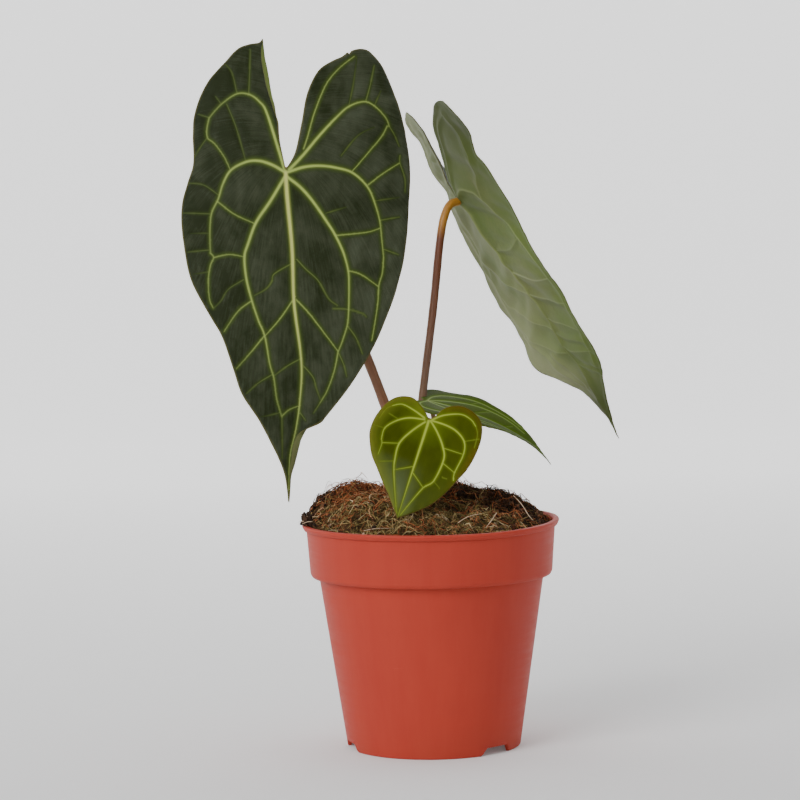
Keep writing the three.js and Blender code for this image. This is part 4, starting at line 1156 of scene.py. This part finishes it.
def make_pot():
    """A turned profile with the feet's notches raised in it and the rim warped, drilled below."""
    profile = pot_profile()
    turns = np.linspace(0, 2 * np.pi, POT_SEGMENTS, endpoint=False)
    cut = notch_height(turns)
    slope = (POT["shoulder_radius"] - POT["foot_radius"]) / POT["shoulder_z"]
    rings = []
    for r, z in profile[1:-1]:
        if r > POT["foot_radius"] - 0.1:
            raised = z + cut * max(0, 1 - z / NOTCH["reach"])
        else:
            raised = z + np.minimum(cut, POT["floor_z"] - 0.6) * max(0, 1 - z / POT["floor_z"])
        radius = r + (raised - z) * slope
        high = np.clip((raised - RIM_WARP["from_z"]) / (POT["height"] - RIM_WARP["from_z"]), 0, 1) ** 2
        warp = RIM_WARP["rise"] * high * np.clip(np.cos(turns - RIM_WARP["turn"]), 0, 1) ** 1.5
        rings.append(turned(radius, turns, raised + warp))
    index, faces = ring_walls(len(rings), POT_SEGMENTS)
    points = np.vstack(rings + [[[0, 0, profile[0][1]], [0, 0, profile[-1][1]]]])
    after = np.roll(index, -1, 1)
    low_centre = np.full(POT_SEGMENTS, index.size)
    faces.append(np.stack([low_centre, after[0], index[0]], 1))
    faces.append(np.stack([index[-1], after[-1], low_centre + 1], 1))
    made = piece("pot_shell", points, np.vstack(faces), [pot_look()], "pot", "pot")
    drill(made)
    made.data.shade_smooth()
    made.data.set_sharp_from_angle(angle=math.radians(SHARP_ANGLE))


# Potting mix

def soil_height(x, y):
    """The frame's height of the mix."""
    r = np.maximum(np.hypot(x, y), 1e-6)
    right, back = x / r, y / r
    edge = SOIL["edge_z"] - SOIL["edge_left"] * right + SOIL["edge_front"] * back
    steepness = SOIL["steepness"] - SOIL["steepness_left"] * right + SOIL["steepness_front"] * back
    within = 1 - np.minimum(r / (POT["collar_top_radius"] - POT["wall"]), 1) ** steepness
    z = edge + SOIL["rise"] * within
    for lump_x, lump_y, height, spread in SOIL["lumps"]:
        z = z + height * np.exp(-((x - lump_x) ** 2 + (y - lump_y) ** 2) / spread ** 2)
    return z


class Ground:
    """The rough surface of the mix, as a fine grid that is looked up between its points.

    Clods, crumbs and grains stand on the mix's own form, less so near the rim.
    """

    def __init__(self, step=0.5, reach=58.0):
        self.step, self.reach = step, reach
        line = np.arange(-reach, reach + step, step)
        grid = np.meshgrid(line, line, indexing="ij")
        x, y = (column.ravel() for column in grid)
        flat = np.stack([x, y, np.zeros(x.size)], 1)
        clods = 3.0 * (0.42 - cells(flat, 0.17, 3.1))
        crumbs = 1.6 * (0.4 - cells(flat, 0.45, 7.7))
        grains = 0.8 * rough(flat + [0, 0, 5], 0.5, 4)
        detail = clods + crumbs + grains
        calm = 0.3 + 0.7 * (1 - smoothstep(50, 56.5, np.hypot(x, y)))
        z = soil_height(x, y) + blobs(x, y, PILE) - blobs(x, y, SETTLED) + detail * calm - 1.3
        self.z = z.reshape(grid[0].shape)
        self.relief = np.clip(detail / 2.2, -1, 1).reshape(grid[0].shape)

    def __call__(self, x, y, z=None):
        """The height at (x, y), or another field of the grid."""
        z = self.z if z is None else z
        last = z.shape[0] - 2
        i = np.clip((x + self.reach) / self.step, 0, last)
        j = np.clip((y + self.reach) / self.step, 0, last)
        i0, j0 = i.astype(int), j.astype(int)
        s, t = i - i0, j - j0
        return ((z[i0, j0] * (1 - s) + z[i0 + 1, j0] * s) * (1 - t)
                + (z[i0, j0 + 1] * (1 - s) + z[i0 + 1, j0 + 1] * s) * t)


def soil_look():
    """Dark crumbs, reddish where there is coir and olive where there is moss, with painted near-black shade
    in hollows.
    """
    look = Look("potting_mix", roughness=0.95, specular_ior_level=0.12)
    place = look.place()
    grain = look.noise(place, 620.0, 4.0, 0.7)
    patch = look.noise(place, 120.0, 4.0, 0.6)
    dark = look.ramp(grain, (0.3, (34, 24, 15)), (0.5, (72, 48, 31)), (0.72, (112, 78, 52)))
    red = look.ramp(grain, (0.3, (70, 38, 22)), (0.5, (126, 72, 42)), (0.72, (168, 104, 64)))
    olive = look.ramp(grain, (0.3, (44, 36, 18)), (0.5, (86, 70, 38)), (0.72, (128, 110, 66)))
    look.link("Base Color", look.coated(
        dark, (red, "coir", (patch, 0.3, 0.6, 0.5, 1.0)), (olive, "moss", (patch, 0.35, 0.65, 0.25, 0.9)),
        # Painted shade: near black in the hollows of the mix's relief.
        ((24, 17, 11), ("relief", -0.9, 0.0, 0.6, 0.0))))
    look.bump(grain, 0.0006, 0.8)
    return look.material


def make_soil_bed(ground):
    """The body of the mix under its litter."""
    spacing = 0.85
    radius = SOIL["radius"]
    count = int(2 * math.pi * radius / spacing)
    turn = np.arange(count) * 2 * np.pi / count
    outline = turned(radius, turn, 0)[:, :2]
    line = np.arange(-radius, radius, spacing)
    grid = staggered(line, line * 0.98, spacing / 2)
    grid = grid[np.hypot(grid[:, 0], grid[:, 1]) < radius - 0.6 * spacing]
    flat, triangles = triangulated(np.vstack([outline, grid]))
    top = np.column_stack([flat, ground(flat[:, 0], flat[:, 1])])
    rings = [turned(r, turn, z) for r, z in SOIL["below"]]
    points = np.vstack([top] + rings + [[[0, 0, SOIL["below"][-1][1]]]])
    loops = [np.arange(count)] + [len(top) + k * count + np.arange(count) for k in range(len(rings))]
    faces = [triangles]
    for upper, lower in zip(loops, loops[1:]):
        u, v = np.roll(upper, -1), np.roll(lower, -1)
        faces += [np.stack([upper, lower, v], 1), np.stack([upper, v, u], 1)]
    faces.append(np.stack([loops[-1], np.full(count, len(points) - 1), np.roll(loops[-1], -1)], 1))
    x, y = points[:, 0], points[:, 1]
    piece("soil_bed", points, np.vstack(faces), [soil_look()], "potting_mix", "soil",
          coir=here(x, y, COIR), moss=here(x, y, MOSS), relief=ground(x, y, ground.relief))


def scattered(rng, count, density, radius):
    """Random places in a round area, closer together where the density (0 to 1) is high."""
    x, y = np.zeros(0), np.zeros(0)
    while len(x) < count:
        r, turn = radius * np.sqrt(rng.random(count)), 2 * np.pi * rng.random(count)
        px, py = r * np.cos(turn), r * np.sin(turn)
        keep = rng.random(count) < density(px, py)
        x, y = np.concatenate([x, px[keep]]), np.concatenate([y, py[keep]])
    return x[:count], y[:count]


def strands(rng, ground, x, y, length, radius, curl, arch, stand, points=8):
    """Curly strands lying on the mix from starting places, arching up between their ends."""
    n, reach = len(x), SOIL["litter_reach"]
    length = rng.uniform(*length, n)
    step = (length / (points - 1))[:, None]
    heading = 2 * np.pi * rng.random(n)[:, None] + np.cumsum(rng.normal(0, curl, (n, points)), 1)
    t = np.linspace(0, 1, points)
    px = x[:, None] + np.cumsum(step * np.cos(heading), 1)
    py = y[:, None] + np.cumsum(step * np.sin(heading), 1)
    far = np.hypot(px, py)
    squeeze = np.where(far > reach, reach / far, 1)
    px, py = px * squeeze, py * squeeze
    rise = np.abs(rng.normal(0, arch, n))[:, None] * np.sin(np.pi * t) ** 0.8
    tilt = np.abs(rng.normal(0, stand, n))[:, None] * t ** 1.3
    wobble = np.cumsum(rng.normal(0, 0.12, (n, points)), 1)
    base = ground(px, py)
    level = base.mean(1, keepdims=True)
    pz = 0.55 * base + 0.45 * np.maximum(base, level) + rise + tilt + wobble * 0.5 + 0.15
    pz = np.maximum(pz, base - 0.1)
    thick = rng.uniform(*radius, n)[:, None] * np.interp(t, [0, 0.15, 0.8, 1], [0.75, 1, 0.9, 0.3])
    return np.stack([px, py, pz], -1), thick


def litter_look(name, *stops):
    """Dry plant matter whose colour is drawn for each strand or bit."""
    look = Look(name, roughness=0.85, specular_ior_level=0.2)
    grain = look.noise(look.place(), 900.0, 3.0, 0.6)
    base = look.ramp("shade", *stops)
    darker = look.tinted(base, 0.42, 0.4, 0.38)
    look.link("Base Color", look.coated(base, (darker, (grain, 0.35, 0.7, 0.0, 0.6))))
    look.bump(grain, 0.0002, 0.5)
    return look.material


def lay_strands(name, look, ground, *bunches):
    """One piece from several bunches of strands with (low, high) shades, with painted shade in hollows and
    darker in the dark patches.
    """
    rng = np.random.default_rng(len(name))
    parts, shades = [], []
    for (paths, radii), (low, high) in bunches:
        parts.append(tubes(paths, radii, 3))
        x, y, _ = paths[:, paths.shape[1] // 2].T
        # Painted shade in the hollows of the mix, and darker strands in the dark patches.
        hollow_shade_and_dark_patch = 0.28 * ground(x, y, ground.relief) + 0.05 - 0.28 * here(x, y, DARK)
        shade = np.clip(rng.uniform(low, high, len(paths)) + np.where(low < 0.9, hollow_shade_and_dark_patch, 0), 0, 1)
        shades.append(np.repeat(shade, paths.shape[1] * 3))
    points, triangles = merged(parts)
    piece(name, points, triangles, [look], "potting_mix", shade=np.concatenate(shades))


def ball():
    """A ball of 12 points and one of 42, each as its points and triangles."""
    golden = (1 + 5 ** 0.5) / 2
    corners = unit(np.array([
        (-1, golden, 0), (1, golden, 0), (-1, -golden, 0), (1, -golden, 0), (0, -1, golden),
        (0, 1, golden), (0, -1, -golden), (0, 1, -golden), (golden, 0, -1), (golden, 0, 1),
        (-golden, 0, -1), (-golden, 0, 1)], float))
    faces = [(0, 11, 5), (0, 5, 1), (0, 1, 7), (0, 7, 10), (0, 10, 11), (1, 5, 9), (5, 11, 4), (11, 10, 2),
             (10, 7, 6), (7, 1, 8), (3, 9, 4), (3, 4, 2), (3, 2, 6), (3, 6, 8), (3, 8, 9), (4, 9, 5),
             (2, 4, 11), (6, 2, 10), (8, 6, 7), (9, 8, 1)]
    points = [tuple(c) for c in corners]
    middles = {}

    def middle(a, b):
        key = (min(a, b), max(a, b))
        if key not in middles:
            middles[key] = len(points)
            points.append(tuple(unit(np.add(points[a], points[b]) / 2)))
        return middles[key]

    finer = []
    for a, b, c in faces:
        ab, bc, ca = middle(a, b), middle(b, c), middle(c, a)
        finer += [(a, ab, ca), (ab, b, bc), (ca, bc, c), (ab, bc, ca)]
    return (corners, np.array(faces)), (np.array(points), np.array(finer))


def bits(rng, ground, x, y, size, flatness, shape, sink=0.25):
    """Irregular crumbs or chips at the given places."""
    corners, faces = shape
    n = len(x)
    scale = rng.uniform(*size, n)[:, None, None] / 2
    stretch = np.stack([
        rng.uniform(0.7, 1.5, n), rng.uniform(0.6, 1.0, n), rng.uniform(*flatness, n)], 1)[:, None]
    jag = rng.uniform(0.72, 1.22, (n, len(corners), 1))
    body = corners[None] * jag * stretch
    spin = unit(rng.normal(size=(n, 4)))
    w, i, j, k = spin.T
    turn = np.stack([
        np.stack([1 - 2 * (j * j + k * k), 2 * (i * j - k * w), 2 * (i * k + j * w)], -1),
        np.stack([2 * (i * j + k * w), 1 - 2 * (i * i + k * k), 2 * (j * k - i * w)], -1),
        np.stack([2 * (i * k - j * w), 2 * (j * k + i * w), 1 - 2 * (i * i + j * j)], -1)], 1)
    body = np.einsum("nij,nkj->nki", turn, body) * scale
    centre = np.stack([x, y, ground(x, y) + scale[:, 0, 0] * (1 - 2 * sink)], 1)
    points = (body + centre[:, None]).reshape(-1, 3)
    triangles = (faces[None] + (np.arange(n) * len(corners))[:, None, None]).reshape(-1, 3)
    return points, triangles


def lay_bits(name, look, groups, seed):
    """One piece from several groups of bits with (low, high) shades."""
    rng = np.random.default_rng(seed)
    shades = [np.repeat(rng.uniform(low, high, len(points) // corners), corners)
              for (points, _), corners, (low, high) in groups]
    points, triangles = merged([group[0] for group in groups])
    made = piece(name, points, triangles, [look], "potting_mix", shade=np.concatenate(shades))
    made.data.shade_flat()


def placed(paths, radius, points=14):
    """Single strands along given (x, y, z) points, thinning to both ends."""
    lines = np.array([even(spline(path), count=points) for path in paths])
    thick = radius * np.interp(np.linspace(0, 1, points), [0, 0.1, 0.7, 1], [0.7, 1, 0.9, 0.35])
    return lines, np.repeat(thick[None], len(lines), 0)


def make_litter(ground):
    """Coir, moss, straw, roots and bits of bark on the mix."""
    rng = np.random.default_rng(5)

    def spots(count, low, patches, reach):
        """Random places, dense within the patches and less so, at the low share, beyond them."""
        return scattered(rng, count, lambda x, y: low + (1 - low) * here(x, y, patches), reach)

    def bunch(places, *form, **more):
        return strands(rng, ground, *places, *form, **more)

    def crumbs(places, size, flatness, shape, shades, sink=0.25):
        return bits(rng, ground, *places, size, flatness, shape, sink), len(shape[0]), shades

    coir = litter_look("coir", (0.0, (80, 44, 27)), (0.3, (144, 78, 46)), (0.65, (198, 118, 72)),
                       (0.9, (228, 166, 116)), (1.0, (240, 204, 162)))
    moss = litter_look("moss", (0.0, (38, 31, 18)), (0.35, (90, 76, 40)), (0.65, (146, 124, 72)),
                       (0.88, (198, 174, 122)), (1.0, (230, 210, 170)))
    bark = litter_look("bark", (0.0, (30, 21, 14)), (0.5, (88, 59, 39)), (0.85, (142, 98, 68)),
                       (1.0, (234, 208, 176)))
    tangle = bunch(spots(1900, 0.1, COIR, 55), (3, 10), (0.09, 0.2), 0.6, 1.2, 1.6)
    loops = bunch(spots(500, 0.1, COIR, 53), (6, 17), (0.1, 0.22), 0.38, 1.8, 1.6, points=10)
    lay_strands("coir_strands", coir, ground, (tangle, (0.0, 0.85)), (loops, (0.25, 1.0)))
    straw = bunch(spots(1500, 0.12, MOSS, 55.5), (2.5, 8), (0.13, 0.26), 0.22, 0.8, 1.8, points=5)
    curls = bunch(spots(1700, 0.25, MOSS, 55.5), (2, 7), (0.08, 0.17), 0.8, 0.9, 1.5, points=7)
    long = bunch(spots(170, 0.15, MOSS, 54), (9, 22), (0.12, 0.24), 0.1, 0.7, 1.0)
    lay_strands("moss_strands", moss, ground, (straw, (0.25, 0.95)), (curls, (0.05, 0.7)),
                (long, (0.4, 0.96)))
    roots = bunch(spots(1500, 0.12, DARK, 55.3), (2, 7), (0.09, 0.22), 0.6, 1.1, 1.5, points=6)
    lay_strands("root_strands", bark, ground, (roots, (0.1, 0.8)),
                (placed(HAIR_LOOPS, 0.12), (0.5, 0.7)), (placed(PALE_STEMS, 0.24), (0.93, 1.0)))
    coarse, fine = ball()
    groups = [
        crumbs(spots(3600, 0.4, DARK, 55.6), (0.4, 1.3), (0.4, 0.9), coarse, (0.0, 0.85)),
        crumbs(spots(420, 0.2, DARK, 54), (1.2, 3.4), (0.3, 0.8), fine, (0.05, 0.75)),
    ]
    for sink in (1.3, 0.5, -0.4):
        rim = spots(110, 0, RIM_CRUMBS, 59.6)
        groups.append(crumbs(rim, (0.9, 2.6), (0.4, 0.9), fine, (0.0, 0.45), sink))
    groups.append(crumbs(spots(18, 0.3, MOSS, 55), (1.0, 2.2), (0.2, 0.4), fine, (0.86, 0.96)))
    pale_chips = np.array([(-33.5, -45.6), (-30.5, -46.8), (13.5, -54.0), (17.5, -52.6)]).T
    groups.append(crumbs(pale_chips, (2.2, 3.8), (0.2, 0.35), fine, (0.87, 0.93), 0.1))
    lay_bits("bark_bits", bark, groups, 3)


# The room

def make_room():
    """A pale round backdrop that glows most behind the plant, sized in metres, so every view has the same
    plain ground.
    """
    bend, wall, height, sides = 0.7, 2.6, 3.2, 96
    profile = [(0.8, 0.0)]
    for a in np.linspace(0, math.pi / 2, 14):
        profile.append((wall - bend + bend * math.sin(a), bend - bend * math.cos(a)))
    profile.append((wall, height))
    turns = [2 * math.pi * k / sides for k in range(sides)]
    points = [(0.0, 0.0, 0.0)]
    points += [(r * math.cos(turn), r * math.sin(turn), z) for r, z in profile for turn in turns]
    faces = []
    for k in range(sides):
        m = (k + 1) % sides
        faces.append((0, 1 + k, 1 + m))
        for a in range(1, 1 + sides * (len(profile) - 1), sides):
            faces.append((a + k, a + sides + k, a + sides + m, a + m))
    mesh = bpy.data.meshes.new("backdrop")
    mesh.from_pydata(points, [], faces)
    mesh.shade_smooth()
    backdrop = added("backdrop", mesh)
    look = Look("paper", roughness=0.9, specular_ior_level=0.1)
    look.shader.inputs["Base Color"].default_value = (0.8, 0.8, 0.8, 1)
    look.shader.inputs["Emission Color"].default_value = (1, 1, 1, 1)
    # Painted glow: the backdrop emits light, none at the front and most behind the plant.
    look.link("Emission Strength", look.range(look.axis(look.place(), 1), -0.2, 1.4, 0.0, BACKDROP_GLOW))
    mesh.materials.append(look.material)


def make_lights():
    """A key lamp from the front left, a weak fill, a top lamp and an even white sky."""
    for name, place, size, watts in (
            ("key", (-1.05, -1.38, 1.1), 1.0, 31), ("fill", (1.5, -0.9, 0.8), 1.2, 0.5),
            ("top", (0.0, 0.3, 1.9), 1.4, 8)):
        light = bpy.data.lights.new(name, "AREA")
        light.energy = watts
        light.size = size
        lamp = added(name, light)
        lamp.location = place
        lamp.rotation_euler = (Vector(LAMP_TARGET) - Vector(place)).to_track_quat("-Z", "Y").to_euler()
    world = bpy.data.worlds.new("studio")
    bpy.context.scene.world = world
    world.use_nodes = True
    sky = world.node_tree.nodes["Background"].inputs
    sky["Color"].default_value = (1, 1, 1, 1)
    sky["Strength"].default_value = SKY


def make_camera():
    """The camera that was fitted to the photograph's view of the pot."""
    pan, tilt, roll = (math.radians(CAMERA[k]) for k in ("pan", "tilt", "roll"))
    ahead = Vector((math.sin(pan) * math.cos(tilt), math.cos(pan) * math.cos(tilt), -math.sin(tilt)))
    right = ahead.cross(Vector((0, 0, 1))).normalized()
    up = right.cross(ahead)
    across = right * math.cos(roll) - up * math.sin(roll)
    upward = right * math.sin(roll) + up * math.cos(roll)
    data = bpy.data.cameras.new("photo")
    data.sensor_width = SENSOR
    data.lens = CAMERA["focal"] * SENSOR / PHOTO_WIDTH
    camera = added("photo", data)
    place = Vector(put([0, -CAMERA["distance"], CAMERA["height"]]))
    camera.matrix_world = Matrix.Translation(place) @ Matrix((across, upward, -ahead)).transposed().to_4x4()
    bpy.context.scene.camera = camera


make_camera()
make_lights()
make_room()
make_pot()
mix_surface = Ground()
make_soil_bed(mix_surface)
make_litter(mix_surface)
make_crown()
make_stalks()
make_blades()
